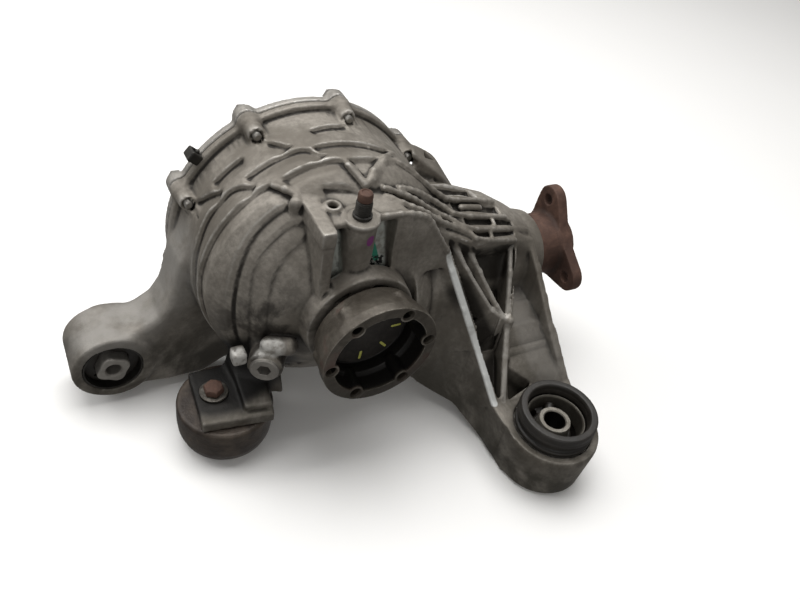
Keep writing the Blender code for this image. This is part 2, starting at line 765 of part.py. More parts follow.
def make_rear_bush(root):
    near, far = REAR_BOSS_Y
    centre = (REAR_BUSH.x, 0, REAR_BUSH.z)
    count = SEGMENTS
    shell_r = REAR_BORE_R - GAP
    thin_r = shell_r - 0.0015
    shell = [(thin_r, near + 0.001), (shell_r, near + 0.001), (shell_r, far - 0.001), (thin_r, far - 0.001)]
    add_mesh("rear_bush_shell", turned(shell, "Y"), "dark_steel", root, location=centre)
    outer = thin_r - GAP
    rubber = [
        lobed_loop(near + 0.010, count, 0.0150 + GAP, 0.0015),
        round_loop(outer, near + 0.010, count),
        round_loop(outer, far - 0.010, count),
        lobed_loop(far - 0.010, count, 0.0150 + GAP, 0.0015),
    ]
    add_mesh("rear_bush_rubber", toothed(rubber), "rubber", root, location=centre)
    core = [
        round_loop(0.0070, near - 0.002, count),
        lobed_loop(near - 0.002, count, 0.0150, 0.0015),
        lobed_loop(far + 0.002, count, 0.0150, 0.0015),
        round_loop(0.0070, far + 0.002, count),
    ]
    add_mesh("rear_bush_core", toothed(core), "aged_aluminium", root, location=centre)


# ---- Bearings and seals -------------------------------------------------------------------------
def taper_bearing(name, axis, near, far, bore_r, cup_r, big_end, cup_parent, cone_parent, location):
    """A cup and a cone with its rollers. big_end is 1 where the rollers are larger at far, and -1 at near."""
    middle = (bore_r + cup_r) / 2
    big, small = middle + 0.0045, middle + 0.0010
    at_near, at_far = (small, big) if big_end > 0 else (big, small)
    clear = RUNNING_GAP
    cup = [(at_near + clear, near), (cup_r - GAP, near), (cup_r - GAP, far), (at_far + clear, far)]
    cone = [(bore_r + GAP, near), (at_near, near), (at_far, far), (bore_r + GAP, far)]
    add_mesh(f"{name}_cup", turned(cup, axis), "gear_steel", cup_parent, location=location)
    add_mesh(f"{name}_cone", turned(cone, axis), "gear_steel", cone_parent, location=location)


def lip_seal(name, axis, near, far, inner, outer, parent, location):
    lip_r = inner + RUNNING_GAP
    edge_r = outer - GAP
    profile = [(lip_r, near), (edge_r, near), (edge_r, far), (lip_r, far)]
    add_mesh(name, turned(profile, axis), "rubber", parent, location=location)


def make_bearings_and_seals(root, carrier, pinion):
    left = 2 * MIDDLE_Y
    journal = CARRIER_JOURNAL_R
    near, far = CARRIER_BEARING
    base = (0, 0, 0)
    taper_bearing("right_carrier_bearing", "Y", near, far, journal, BEARING_BORE_R, 1, root, carrier, base)
    near, far = left - far, left - near
    taper_bearing("left_carrier_bearing", "Y", near, far, journal, BEARING_BORE_R, -1, root, carrier, base)
    under = (0, 0, OFFSET_Z)
    taper_bearing("pinion_head_bearing", "X", *HEAD_BEARING, HEAD_SEAT_R, HEAD_CUP_R, -1, root, pinion, under)
    taper_bearing("pinion_tail_bearing", "X", *TAIL_BEARING, TAIL_SEAT_R, TAIL_CUP_R, 1, root, pinion, under)
    near, far = HUB_END_Y + 0.001, HUB_END_Y + 0.0115
    lip_seal("right_output_seal", "Y", near, far, STUB_SEAL_R, SEAL_BORE_R, root, base)
    near, far = left - far, left - near
    lip_seal("left_output_seal", "Y", near, far, STUB_SEAL_R, SEAL_BORE_R, root, base)
    lip_seal("pinion_seal", "X", 0.226, 0.237, 0.024, TAIL_CUP_R, root, under)


# ---- Hypoid gear pair ---------------------------------------------------------------------------
MODULE_AT_MESH = 2 * MESH_S * PINION_CONE / PINION_TEETH
ADDENDUM = 0.75 * MODULE_AT_MESH
DEDENDUM = 1.0 * MODULE_AT_MESH
FLANK = math.tan(math.radians(20.0))
TOOTH_SHARE = 0.40  # tooth thickness as a share of the pitch, on the pitch line


def tooth_widths(module, addendum, dedendum):
    """Half thickness of a tooth at its tip, and at its root."""
    at_pitch = TOOTH_SHARE * math.pi * module / 2
    return at_pitch - addendum * FLANK, at_pitch + dedendum * FLANK


def make_ring_gear(carrier):
    tip_half, root_half = tooth_widths(MODULE_AT_MESH, ADDENDUM, DEDENDUM)
    pitch = math.tau / RING_TEETH
    samples = []
    for tooth in range(RING_TEETH):
        middle = (tooth + 0.5) * pitch
        for half, is_tip in ((-root_half, False), (-tip_half, True), (tip_half, True), (root_half, False)):
            samples.append((middle + half / MESH_S, is_tip))

    def loop(distance, height):
        points = []
        for angle, is_tip in samples:
            x = distance * math.cos(angle) - OFFSET_Z * math.sin(angle)
            z = distance * math.sin(angle) + OFFSET_Z * math.cos(angle)
            points.append((x, height(is_tip), z))
        return points

    def tooth_height(distance):
        scale = distance / MESH_S
        tip = distance * PINION_CONE - ADDENDUM * scale
        root = distance * PINION_CONE + DEDENDUM * scale
        return lambda is_tip: tip if is_tip else root

    bore = math.sqrt(RING_BORE_R**2 - OFFSET_Z**2)
    loops = [
        loop(bore, lambda is_tip: RING_BACK_Y),
        loop(TOOTH_OUTER_S + 0.001, lambda is_tip: RING_BACK_Y),
        loop(TOOTH_OUTER_S, tooth_height(TOOTH_OUTER_S)),
        loop(TOOTH_INNER_S, tooth_height(TOOTH_INNER_S)),
    ]
    add_mesh("ring_gear", toothed(loops), "gear_steel", carrier)


def make_drive_pinion(pinion):
    tip_half, root_half = tooth_widths(MODULE_AT_MESH, ADDENDUM, DEDENDUM)
    pitch_r = MESH_S * PINION_CONE
    tip_r, root_r = pitch_r + ADDENDUM, pitch_r - DEDENDUM
    samples = []
    for tooth in range(PINION_TEETH):
        middle = tooth * math.tau / PINION_TEETH
        tooth_corners = [(-root_half, root_r), (-tip_half, tip_r), (tip_half, tip_r), (root_half, root_r)]
        for half, radius in tooth_corners:
            samples.append((middle + half / radius, radius))

    def toothed_loop(distance):
        scale = distance / MESH_S
        return [(distance, r * scale * math.cos(a), r * scale * math.sin(a)) for a, r in samples]

    def plain_loop(distance, radius):
        return [(distance, radius * math.cos(a), radius * math.sin(a)) for a, r in samples]

    loops = [
        toothed_loop(TOOTH_INNER_S),
        toothed_loop(TOOTH_OUTER_S),
        plain_loop(TOOTH_OUTER_S + 0.001, 0.0210),
        plain_loop(HEAD_BEARING[0] - GAP, 0.0245),
        plain_loop(HEAD_BEARING[0] - GAP, HEAD_SEAT_R),
        plain_loop(TAIL_BEARING[0] - 0.002, TAIL_SEAT_R),
        plain_loop(TAIL_BEARING[1] + 0.0015, 0.0140),
        plain_loop(0.2640, 0.0110),
        plain_loop(0.2860, 0.0110),
    ]
    add_mesh("drive_pinion", capped(loops), "gear_steel", pinion, location=(0, 0, OFFSET_Z))
    sleeve_start, sleeve_end = HEAD_BEARING[1] + GAP, TAIL_BEARING[0] - 0.0012
    bulge = (sleeve_start + sleeve_end) / 2
    sleeve = [
        (HEAD_SEAT_R + GAP, sleeve_start),
        (0.0230, sleeve_start),
        (0.0230, bulge - 0.008),
        (0.0255, bulge),
        (0.0230, bulge + 0.008),
        (0.0230, sleeve_end),
        (HEAD_SEAT_R + GAP, sleeve_end),
    ]
    add_mesh("crush_sleeve", turned(sleeve, "X"), "gear_steel", pinion, location=(0, 0, OFFSET_Z))


# ---- Input flange -------------------------------------------------------------------------------
def arm_direction(degrees):
    angle = math.radians(degrees)
    return -math.cos(angle), math.sin(angle)


def input_plate_outline():
    """Three round-ended arms joined by hollow sides, as (Y, Z) points about the pinion's axis."""
    outline = []
    steps = 6
    for degrees in INPUT_ARM_DEGREES:
        middle = math.radians(180.0 - degrees)
        centre_y = INPUT_HOLE_CIRCLE_R * math.cos(middle)
        centre_z = INPUT_HOLE_CIRCLE_R * math.sin(middle)
        for i in range(steps + 1):
            angle = middle + math.radians(-80.0 + 160.0 * i / steps)
            y = centre_y + INPUT_LOBE_R * math.cos(angle)
            outline.append((y, centre_z + INPUT_LOBE_R * math.sin(angle)))
        for i in range(1, 4):
            share = i / 4
            angle = middle + math.radians(27.0 + 66.0 * share)
            radius = 0.0385 + 0.0085 * (2 * share - 1) ** 2
            outline.append((radius * math.cos(angle), radius * math.sin(angle)))
    return outline


def make_input_flange(pinion):
    spot = (0, 0, OFFSET_Z)
    plate_end = INPUT_PLATE_X + INPUT_PLATE_THICK
    plate = prism(input_plate_outline(), INPUT_PLATE_X, plate_end, "X")
    flange = add_mesh("input_flange", plate, "brown_iron", pinion, location=spot)
    hub = [
        (0.0, TAIL_BEARING[1] + 0.0025),
        (0.0240, TAIL_BEARING[1] + 0.0025),
        (0.0240, NOSE_END_X + 0.001),
        (0.0345, NOSE_END_X + 0.002),
        (0.0350, INPUT_PLATE_X + 0.002),
        (0.0330, plate_end + 0.002),
        (0.0310, INPUT_FRONT_X),
        (0.0, INPUT_FRONT_X),
    ]
    join(flange, turned(hub, "X"), location=spot)
    bore = [(0.0, 0.19), (0.0145, 0.19), (0.0145, 0.2715), (0.0235, 0.2715), (0.0250, 0.30), (0.0, 0.30)]
    cut(flange, turned(bore, "X"), location=spot)
    for degrees in INPUT_ARM_DEGREES:
        y, z = arm_direction(degrees)
        hole = [(0.0, 0.26), (INPUT_HOLE_R, 0.26), (INPUT_HOLE_R, 0.30), (0.0, 0.30)]
        place = (0, INPUT_HOLE_CIRCLE_R * y, OFFSET_Z + INPUT_HOLE_CIRCLE_R * z)
        cut(flange, turned(hole, "X", SMALL_SEGMENTS), location=place)
    near, far, count = 0.2718, 0.2825, 12
    nut = [
        round_loop(0.0118, near, count, "X"),
        round_loop(0.0200, near, count, "X"),
        round_loop(0.0200, near + 0.002, count, "X"),
        hexagon_loop(0.0182, near + 0.002, count, "X"),
        hexagon_loop(0.0182, far, count, "X"),
        round_loop(0.0118, far, count, "X"),
    ]
    add_mesh("pinion_nut", toothed(nut), "gear_steel", pinion, location=spot)


# ---- Differential case and its gears ------------------------------------------------------------
CASE_INNER_R = 0.0430
CASE_OUTER_R = 0.0540
CASE_HALF = 0.0310
CROSS_SHAFT_R = 0.0080


def make_case(carrier):
    left_end = 2 * MIDDLE_Y + 0.0625
    outer = [
        (0.0, -0.0625),
        (CARRIER_JOURNAL_R, -0.0625),
        (CARRIER_JOURNAL_R, -0.0445),
        (0.0345, -0.0425),
        (0.0480, -0.0400),
        (CASE_OUTER_R, -0.0350),
        (CASE_OUTER_R, 0.0225),
        (RING_BORE_R - GAP, 0.0255),
        (RING_BORE_R - GAP, RING_BACK_Y + GAP),
        (0.0860, RING_BACK_Y + GAP),
        (0.0860, 0.0520),
        (0.0480, 0.0560),
        (0.0340, 0.1000),
        (CARRIER_JOURNAL_R, 0.1040),
        (CARRIER_JOURNAL_R, left_end),
        (0.0, left_end),
    ]
    case = add_mesh("differential_case", turned(outer, "Y"), "dark_iron", carrier)
    bore_r = STUB_R + 0.0015
    counter = 0.0206
    depth = 0.0455
    inner = [
        (0.0, -0.08),
        (bore_r, -0.08),
        (bore_r, -depth),
        (counter, -depth),
        (counter, -CASE_HALF),
        (CASE_INNER_R, -CASE_HALF),
        (CASE_INNER_R, CASE_HALF),
        (counter, CASE_HALF),
        (counter, depth),
        (bore_r, depth),
        (bore_r, 0.14),
        (0.0, 0.14),
    ]
    cut(case, turned(inner, "Y"))
    cut(case, box((-0.07, -0.022, -0.022), (0.07, 0.020, 0.022)))
    pin = [(0.0, -0.07), (CROSS_SHAFT_R + GAP, -0.07), (CROSS_SHAFT_R + GAP, 0.07), (0.0, 0.07)]
    cut(case, turned(pin, "Z", 16))
    lock = [(0.0, -0.06), (0.0025 + GAP, -0.06), (0.0025 + GAP, 0.004), (0.0, 0.004)]
    cut(case, turned(lock, "Y", 12), location=(0, 0, 0.0470))


def bevel_gear(teeth, pitch_r, mate_r, back, hub_r, hub_end, bore_r, phase):
    """A straight bevel gear with its apex at zero and its axis along +Z, so that it meshes with a mate of
    pitch radius mate_r on a crossing axis."""
    module = 2 * pitch_r / teeth
    addendum, dedendum = 0.70 * module, 0.95 * module
    tip_half, root_half = tooth_widths(module, addendum, dedendum)
    cone = math.hypot(pitch_r, mate_r)
    along_r, along_z = pitch_r / cone, mate_r / cone
    tip = (pitch_r + addendum * along_z, mate_r - addendum * along_r)
    root = (pitch_r - dedendum * along_z, mate_r + dedendum * along_r)
    samples = []
    for tooth in range(teeth):
        middle = phase + tooth * math.tau / teeth
        for half, place in ((-root_half, root), (-tip_half, tip), (tip_half, tip), (root_half, root)):
            samples.append((middle + half / pitch_r, place))

    def scaled(share):
        return [(r * share * math.cos(a), r * share * math.sin(a), z * share) for a, (r, z) in samples]

    def plain(radius, height):
        return [(radius * math.cos(a), radius * math.sin(a), height) for a, place in samples]

    loops = [
        plain(bore_r, mate_r * BEVEL_INNER + 0.0012),
        scaled(BEVEL_INNER),
        scaled(1.0),
        plain(hub_r, back),
        plain(hub_r, hub_end),
        plain(bore_r, hub_end),
    ]
    return toothed(loops)


def pivot_turn(target):
    return Vector((0, 0, 1)).rotation_difference(Vector(target))


def make_differential_gears(carrier, right_side, left_side, upper, lower):
    side = dict(
        teeth=SIDE_TEETH,
        pitch_r=SIDE_PITCH_R,
        mate_r=SPIDER_PITCH_R,
        back=0.0305,
        hub_r=0.0203,
        hub_end=0.0450,
        bore_r=STUB_R + GAP,
    )
    # A side gear shows a tooth gap to each spider, and a spider shows a tooth to each side gear.
    gap_phase = math.pi / SIDE_TEETH
    for name, pivot, way in (("right_side_gear", right_side, -1), ("left_side_gear", left_side, 1)):
        gear = bevel_gear(phase=gap_phase, **side)
        rotation = Matrix.Rotation(-way * math.pi / 2, 4, "X").to_quaternion()
        add_mesh(name, gear, "gear_steel", pivot, rotation=rotation)
    spider = dict(
        teeth=SPIDER_TEETH,
        pitch_r=SPIDER_PITCH_R,
        mate_r=SIDE_PITCH_R,
        back=0.0400,
        hub_r=0.0110,
        hub_end=0.0404,
        bore_r=CROSS_SHAFT_R + RUNNING_GAP,
    )
    for name, pivot, turn in (("upper_spider_gear", upper, 0.0), ("lower_spider_gear", lower, math.pi)):
        gear = bevel_gear(phase=math.pi / 2, **spider)
        rotation = Matrix.Rotation(turn, 4, "X").to_quaternion()
        add_mesh(name, gear, "gear_steel", pivot, rotation=rotation)
    half = CASE_OUTER_R - 0.001
    bevel = 0.001
    shaft = [
        (0.0, -half),
        (CROSS_SHAFT_R - bevel, -half),
        (CROSS_SHAFT_R, -half + bevel),
        (CROSS_SHAFT_R, half - bevel),
        (CROSS_SHAFT_R - bevel, half),
        (0.0, half),
    ]
    cross = add_mesh("cross_shaft", turned(shaft, "Z", 16), "bright_steel", carrier)
    lock = [(0.0, -0.04), (0.0025 + GAP, -0.04), (0.0025 + GAP, 0.0045), (0.0, 0.0045)]
    cut(cross, turned(lock, "Y", 12), location=(0, 0, 0.0470))
    pin = [(0.0, -0.036), (0.0025, -0.036), (0.0025, 0.003), (0.0, 0.003)]
    add_mesh("cross_shaft_pin", turned(pin, "Y", 12), "bright_steel", carrier, location=(0, 0, 0.0470))


# ---- Output flanges -----------------------------------------------------------------------------
def output_profile():
    groove = 0.0108
    cup_floor = FLANGE_FACE_Y + FLANGE_CUP_DEPTH + 0.0030
    return [
        (0.0, cup_floor),
        (FLANGE_CUP_R, cup_floor),
        (FLANGE_CUP_R, FLANGE_FACE_Y),
        (FLANGE_R, FLANGE_FACE_Y),
        (FLANGE_R, FLANGE_FACE_Y + 0.009),
        (FLANGE_BACK_R, FLANGE_BACK_Y - 0.002),
        (FLANGE_BACK_R - 0.004, FLANGE_BACK_Y + 0.001),
        (STUB_SEAL_R, FLANGE_BACK_Y + 0.003),
        (STUB_SEAL_R, -0.0655),
        (STUB_R, -0.0650),
        (STUB_R, -groove - 0.0012),
        (STUB_R - 0.0018, -groove - 0.0012),
        (STUB_R - 0.0018, -0.0090),
        (0.0, -0.0090),
    ]


def make_output(name, cap_name, clip_name, pivot, left):
    place = mirror_y if left else (lambda profile: profile)
    profile = output_profile()
    if left:
        # The left stub is longer: only the part outside the side gear moves out with the cover.
        shift = 2 * MIDDLE_Y
        profile = [(r, (shift - y) if y < -0.05 else -y) for r, y in profile]
    flange = add_mesh(name, turned(profile, "Y"), "dark_iron", pivot)
    for i in range(FLANGE_BOLTS):
        angle = math.radians(6.5 + 360.0 / FLANGE_BOLTS * i)
        spot = (FLANGE_BOLT_CIRCLE_R * math.cos(angle), 0, FLANGE_BOLT_CIRCLE_R * math.sin(angle))
        start, end = FLANGE_FACE_Y - 0.01, FLANGE_FACE_Y + 0.017
        hole = place([(0.0, start), (FLANGE_BOLT_R, start), (FLANGE_BOLT_R, end), (0.0, end)])
        cut(flange, turned(hole, "Y", SMALL_SEGMENTS), location=spot)
    bottom = FLANGE_FACE_Y + FLANGE_CUP_DEPTH + 0.0030
    cap = [
        (0.0, bottom - 0.0025),
        (0.034, bottom - 0.0025),
        (FLANGE_CUP_R - 0.0035, bottom - 0.0025),
        (FLANGE_CUP_R - 0.0025, bottom - GAP),
        (0.0, bottom - GAP),
    ]
    add_mesh(cap_name, turned(place(cap), "Y"), "dust_cap", pivot)
    clip = [(0.0145, -0.0118), (0.0168, -0.0118), (0.0168, -0.0107), (0.0145, -0.0107)]
    if left:
        clip = [(r, -y) for r, y in clip]
    ring = add_mesh(clip_name, turned(clip, "Y"), "bright_steel", pivot)
    cut(ring, box((-0.004, -0.02, 0.010), (0.004, 0.02, 0.022)))


# ---- Assembly -----------------------------------------------------------------------------------
def main():
    root = add_empty("assembly_origin", ORIGIN_SHIFT)
    carrier = add_empty("carrier_axis", (0, 0, 0), root)
    pinion = add_empty("pinion_axis", (0, 0, 0), root)
    right_side = add_empty("right_output_axis", (0, 0, 0), carrier)
    left_side = add_empty("left_output_axis", (0, 0, 0), carrier)
    upper = add_empty("upper_spider_axis", (0, 0, 0), carrier)
    lower = add_empty("lower_spider_axis", (0, 0, 0), carrier)
    make_housing(root)
    make_side_cover(root)
    make_gasket(root)
    make_cover_bolts(root)
    make_breather(root)
    make_plugs(root)
    make_hose_clip(root)
    make_damper(root)
    make_front_bush(root, "front_right_bush", FRONT_BUSH)
    make_front_bush(root, "front_left_bush", mirrored([FRONT_BUSH])[0])
    make_rear_bush(root)
    make_bearings_and_seals(root, carrier, pinion)
    make_ring_gear(carrier)
    make_drive_pinion(pinion)
    make_input_flange(pinion)
    make_case(carrier)
    make_differential_gears(carrier, right_side, left_side, upper, lower)
    make_output("right_output_flange", "right_dust_cap", "right_stub_clip", right_side, False)
    make_output("left_output_flange", "left_dust_cap", "left_stub_clip", left_side, True)


clear_scene()
MATERIALS = {name: make_material(name) for name in FINISHES}
main()
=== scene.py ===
"""Looks for the differential gear assembly: castings carved as distance fields, plus turned small parts.

Shapes are laid out in the axle frame in millimetres: X forward along the pinion, Y left along the axle, Z up,
zero on the axle line. They are moved to the row frame when each piece becomes a mesh.
"""

import itertools
import math

import bmesh
import bpy
import numpy as np
import openvdb
from mathutils import Matrix, Vector


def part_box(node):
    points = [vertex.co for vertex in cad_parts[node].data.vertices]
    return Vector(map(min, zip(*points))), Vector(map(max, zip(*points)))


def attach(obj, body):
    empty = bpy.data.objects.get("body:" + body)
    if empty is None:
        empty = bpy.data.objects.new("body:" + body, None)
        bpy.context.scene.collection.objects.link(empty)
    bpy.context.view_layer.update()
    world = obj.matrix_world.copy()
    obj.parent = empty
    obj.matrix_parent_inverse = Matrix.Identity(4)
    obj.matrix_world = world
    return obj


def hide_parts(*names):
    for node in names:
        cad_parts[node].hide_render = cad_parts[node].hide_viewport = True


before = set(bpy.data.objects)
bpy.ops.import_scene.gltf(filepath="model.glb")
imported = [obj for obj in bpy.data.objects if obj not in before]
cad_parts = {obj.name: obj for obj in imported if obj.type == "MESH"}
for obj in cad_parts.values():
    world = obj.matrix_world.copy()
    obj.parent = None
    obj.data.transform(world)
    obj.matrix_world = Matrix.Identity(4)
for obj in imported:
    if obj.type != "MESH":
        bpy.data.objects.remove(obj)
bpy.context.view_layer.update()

MM = 0.001
FAR = 40.0  # the distance that a field holds where nothing is near
SAME_NORMAL = 0.06  # faces of a hull whose normals are closer than this count as one
flange_low, flange_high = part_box("right_output_flange")
AXLE = Vector(((flange_low.x + flange_high.x) / 2, 0.0, (flange_low.z + flange_high.z) / 2))


# ---- Distance fields ----
def smooth_min(a, b, k):
    if k <= 0:
        return np.minimum(a, b)
    h = np.clip(0.5 + 0.5 * (b - a) / k, 0.0, 1.0)
    return b * (1 - h) + a * h - k * h * (1 - h)


def smooth_max(a, b, k):
    return -smooth_min(-a, -b, k)


class Field:
    """A solid held as distances to its surface, in millimetres, negative inside."""

    def __init__(self, low, high, step):
        self.step = step
        self.low = np.array(low, float)
        count = np.ceil((np.array(high, float) - self.low) / step).astype(int) + 1
        self.axes = [(self.low[i] + step * np.arange(count[i])).astype(np.float32) for i in range(3)]
        self.d = np.full(count, FAR, np.float32)

    def window(self, low, high, margin):
        first = np.floor((np.array(low) - margin - self.low) / self.step).astype(int)
        last = np.ceil((np.array(high) + margin - self.low) / self.step).astype(int) + 1
        part = tuple(slice(max(0, a), max(0, b)) for a, b in zip(first, last))
        x = self.axes[0][part[0]][:, None, None]
        y = self.axes[1][part[1]][None, :, None]
        z = self.axes[2][part[2]][None, None, :]
        return part, x, y, z

    def add(self, shape, blend=0.0):
        distance, low, high = shape
        part, x, y, z = self.window(low, high, blend + 3 * self.step)
        self.d[part] = smooth_min(self.d[part], distance(x, y, z), blend)

    def cut(self, shape, blend=0.0):
        distance, low, high = shape
        part, x, y, z = self.window(low, high, blend + 3 * self.step)
        self.d[part] = smooth_max(self.d[part], -distance(x, y, z), blend)

    def sample(self, points):
        place = (points - self.low) / self.step
        place = np.clip(place, 0, np.array(self.d.shape) - 1.001)
        base = place.astype(int)
        share = (place - base).astype(np.float32)
        total = np.zeros(len(points), np.float32)
        for i, j, k in itertools.product((0, 1), repeat=3):
            weight = np.abs(1 - i - share[:, 0]) * np.abs(1 - j - share[:, 1]) * np.abs(1 - k - share[:, 2])
            total += weight * self.d[base[:, 0] + i, base[:, 1] + j, base[:, 2] + k]
        return total

    def bend(self, points, radius):
        """How the surface curves over the given reach: above 0 on an edge, below 0 in a hollow."""
        total = np.zeros(len(points), np.float32)
        ways = [way for way in itertools.product((-1, 0, 1), repeat=3) if any(way)]
        for i, j, k in ways:
            total += self.sample(points + radius * (np.array((i, j, k)) / math.sqrt(i * i + j * j + k * k)))
        return total / (len(ways) * radius)

    def polygons(self):
        limit = 3 * self.step
        grid = openvdb.FloatGrid(limit)
        grid.copyFromArray(np.clip(self.d, -limit, limit).astype(np.float32))
        grid.transform = openvdb.createLinearTransform(voxelSize=self.step)
        points, _, quads = grid.convertToPolygons(isovalue=0.0, adaptivity=0.0)
        return points + self.low, quads


def outline_distance(outline, u, v):
    """Signed distance in the plane to a closed outline, negative inside."""
    shape = np.broadcast(u, v).shape
    best = np.full(shape, 1e9)
    inside = np.zeros(shape, bool)
    for (au, av), (bu, bv) in zip(outline, outline[1:] + outline[:1]):
        eu, ev = bu - au, bv - av
        share = np.clip(((u - au) * eu + (v - av) * ev) / (eu * eu + ev * ev + 1e-9), 0, 1)
        best = np.minimum(best, (u - au - share * eu) ** 2 + (v - av - share * ev) ** 2)
        if ev:
            inside ^= ((av <= v) != (bv <= v)) & (u - au < eu * (v - av) / ev)
    return np.where(inside, -1.0, 1.0) * np.sqrt(best)


def blurred(table, cells):
    """The table averaged over a square of 2 cells + 1 on each side, which rounds a profile's corners."""
    for axis in (0, 1):
        padded = np.pad(table, [(cells, cells) if i == axis else (0, 0) for i in (0, 1)], mode="edge")
        count = table.shape[axis]
        taken = [np.take(padded, range(i, i + count), axis) for i in range(2 * cells + 1)]
        table = sum(taken) / len(taken)
    return table


def lookup(table, a, b):
    """The table's value at row a and column b, which may lie between its points."""
    a = np.clip(a, 0, table.shape[0] - 1.01)
    b = np.clip(b, 0, table.shape[1] - 1.01)
    i, j = a.astype(np.int32), b.astype(np.int32)
    fa, fb = a - i, b - j
    near = table[i, j] * (1 - fb) + table[i, j + 1] * fb
    far = table[i + 1, j] * (1 - fb) + table[i + 1, j + 1] * fb
    return near * (1 - fa) + far * fa


def turned(profile, axis, centre=(0, 0, 0), soft=0.6, relief=None):
    """A turned solid from (radius, station) points. relief gives how far the surface stands out, in
    millimetres, by angle in degrees and station."""
    cell = 0.4
    outline = [(r if r > 0 else -30.0, s) for r, s in profile]
    top_r = max(r for r, _ in outline)
    low_s = min(s for _, s in outline)
    high_s = max(s for _, s in outline)
    pad = 14.0
    u = np.arange(-pad, top_r + pad, cell)[:, None]
    v = np.arange(low_s - pad, high_s + pad, cell)[None, :]
    table = outline_distance(outline, u, v)
    table = blurred(table, max(1, round(soft / cell))).astype(np.float32)
    along = "XYZ".index(axis)
    others = [i for i in range(3) if i != along]

    def distance(x, y, z):
        p = (x - centre[0], y - centre[1], z - centre[2])
        radius = np.sqrt(p[others[0]] ** 2 + p[others[1]] ** 2)
        radius, station = np.broadcast_arrays(radius, p[along])
        if relief is not None:
            angle = np.degrees(np.arctan2(p[2], p[0] if axis == "Y" else -p[1]))
            radius = radius - relief(*np.broadcast_arrays(angle, station))
        a = (radius + pad) / cell
        b = (station - low_s + pad) / cell
        beyond = [np.abs(t - np.clip(t, 0, size - 1)) for t, size in zip((a, b), table.shape)]
        return lookup(table, a, b) + cell * np.maximum(*beyond)

    reach = top_r + 6
    low = [c - reach for c in centre]
    high = [c + reach for c in centre]
    low[along] = centre[along] + low_s
    high[along] = centre[along] + high_s
    return distance, low, high


def hull(points, soft=3.0):
    """The convex solid round the points, its edges rounded."""
    bm = bmesh.new()
    verts = [bm.verts.new(p) for p in points]
    bmesh.ops.convex_hull(bm, input=verts)
    middle = sum((Vector(p) for p in points), Vector()) / len(points)
    planes = []
    for face in bm.faces:
        normal = face.normal.copy()
        offset = normal.dot(face.verts[0].co)
        if normal.dot(middle) > offset:
            normal, offset = -normal, -offset
        if all((normal - other).length > SAME_NORMAL for other, _ in planes):
            planes.append((normal, offset))
    bm.free()

    def distance(x, y, z):
        total = None
        for normal, offset in planes:
            side = x * normal.x + y * normal.y + z * normal.z - offset
            total = side if total is None else smooth_max(total, side, soft)
        return total

    array = np.array([tuple(p) for p in points])
    return distance, array.min(0), array.max(0)


def block(low, high, soft=2.0):
    return hull(list(itertools.product(*zip(low, high))), soft)


def bar(a, b, radius, end_radius=None):
    """A round bar with domed ends, which may taper."""
    a, b = Vector(a), Vector(b)
    end_radius = radius if end_radius is None else end_radius
    along = b - a
    squared = max(along.length_squared, 1e-6)

    def distance(x, y, z):
        share = np.clip(((x - a.x) * along.x + (y - a.y) * along.y + (z - a.z) * along.z) / squared, 0, 1)
        gap = (x - a.x - share * along.x) ** 2
        gap = gap + (y - a.y - share * along.y) ** 2
        gap = gap + (z - a.z - share * along.z) ** 2
        return np.sqrt(gap) - (radius + (end_radius - radius) * share)

    most = max(radius, end_radius)
    low = [min(a[i], b[i]) - most for i in range(3)]
    high = [max(a[i], b[i]) + most for i in range(3)]
    return distance, low, high


def fin(a, b, up, width, rise, drop, soft=1.5):
    """A straight wall from a to b that stands rise above that line and drop below it, towards up."""
    a, b, up = Vector(a), Vector(b), Vector(up)
    along = (b - a).normalized()
    up = (up - along * up.dot(along)).normalized()
    side = along.cross(up)
    length = (b - a).length
    spans = (-width / 2, length + width / 2), (-width / 2, width / 2), (-drop, rise)
    return hull([a + along * s + side * t + up * h for s, t, h in itertools.product(*spans)], soft)


def mirrored(shape, middle=0.0):
    """The same shape on the other side of the plane where Y is middle."""
    distance, low, high = shape
    turn = 2 * middle
    far_low, far_high = (low[0], turn - high[1], low[2]), (high[0], turn - low[1], high[2])
    return (lambda x, y, z: distance(x, turn - y, z)), far_low, far_high


def rod(axis, centre, radius, start, end, soft=0.6, bore=0):
    """A round solid between two stations of an axis through centre, hollow where it has a bore."""
    return turned([(bore, start), (radius, start), (radius, end), (bore, end)], axis, centre, soft)


def around(radius, turn):
    return radius * math.cos(turn), radius * math.sin(turn)


def down_to(points, z):
    """The points, and the same points again at height z."""
    return points + [(x, y, z) for x, y, _ in points]


def cell_size(fine):
    return fine


# ---- Outlines and places ----
SPLIT_Y = 86.0  # where the housing ends and the side cover begins
GROUND_Z = -155.9
NOSE_AXIS = (0, 0, -22.0)
DRUM_OUTER = [
    (0, -78), (52, -78), (53, -62), (62, -56), (76, -50), (92, -40), (104, -32), (115, -21), (122, -10),
    (125, 4), (126, 78), (132, 78), (132, 86), (0, 86),
]
DRUM_SKIN = DRUM_OUTER[4:11]  # the part of it that the ribs lie on
DRUM_CAVITY = [
    (0, -63.2), (43, -63.2), (43, -44), (58, -43), (82, -34), (105, -19), (117, 2), (117, 96), (0, 96),
]
NOSE_OUTER = [(0, 60), (84, 60), (92, 90), (86, 135), (71, 180), (56, 207), (46, 222), (41.5, 240), (0, 240)]
NOSE_SKIN = NOSE_OUTER[1:-1]
NOSE_BORE = [
    (0, 60), (32, 60), (34, 100), (40, 100), (40, 137.3), (31, 137.3), (31, 190.7), (34, 190.7), (34, 250),
    (0, 250),
]
NOSE_GALLERY = [(47, 104), (57, 104), (55, 140), (52, 160), (47, 160)]
COVER_OUTER = [
    (0, 80), (132, 80), (132, 95.6), (123, 95.6), (116, 104), (98, 112), (74, 118), (58, 122), (52, 127),
    (52, 138), (0, 138),
]
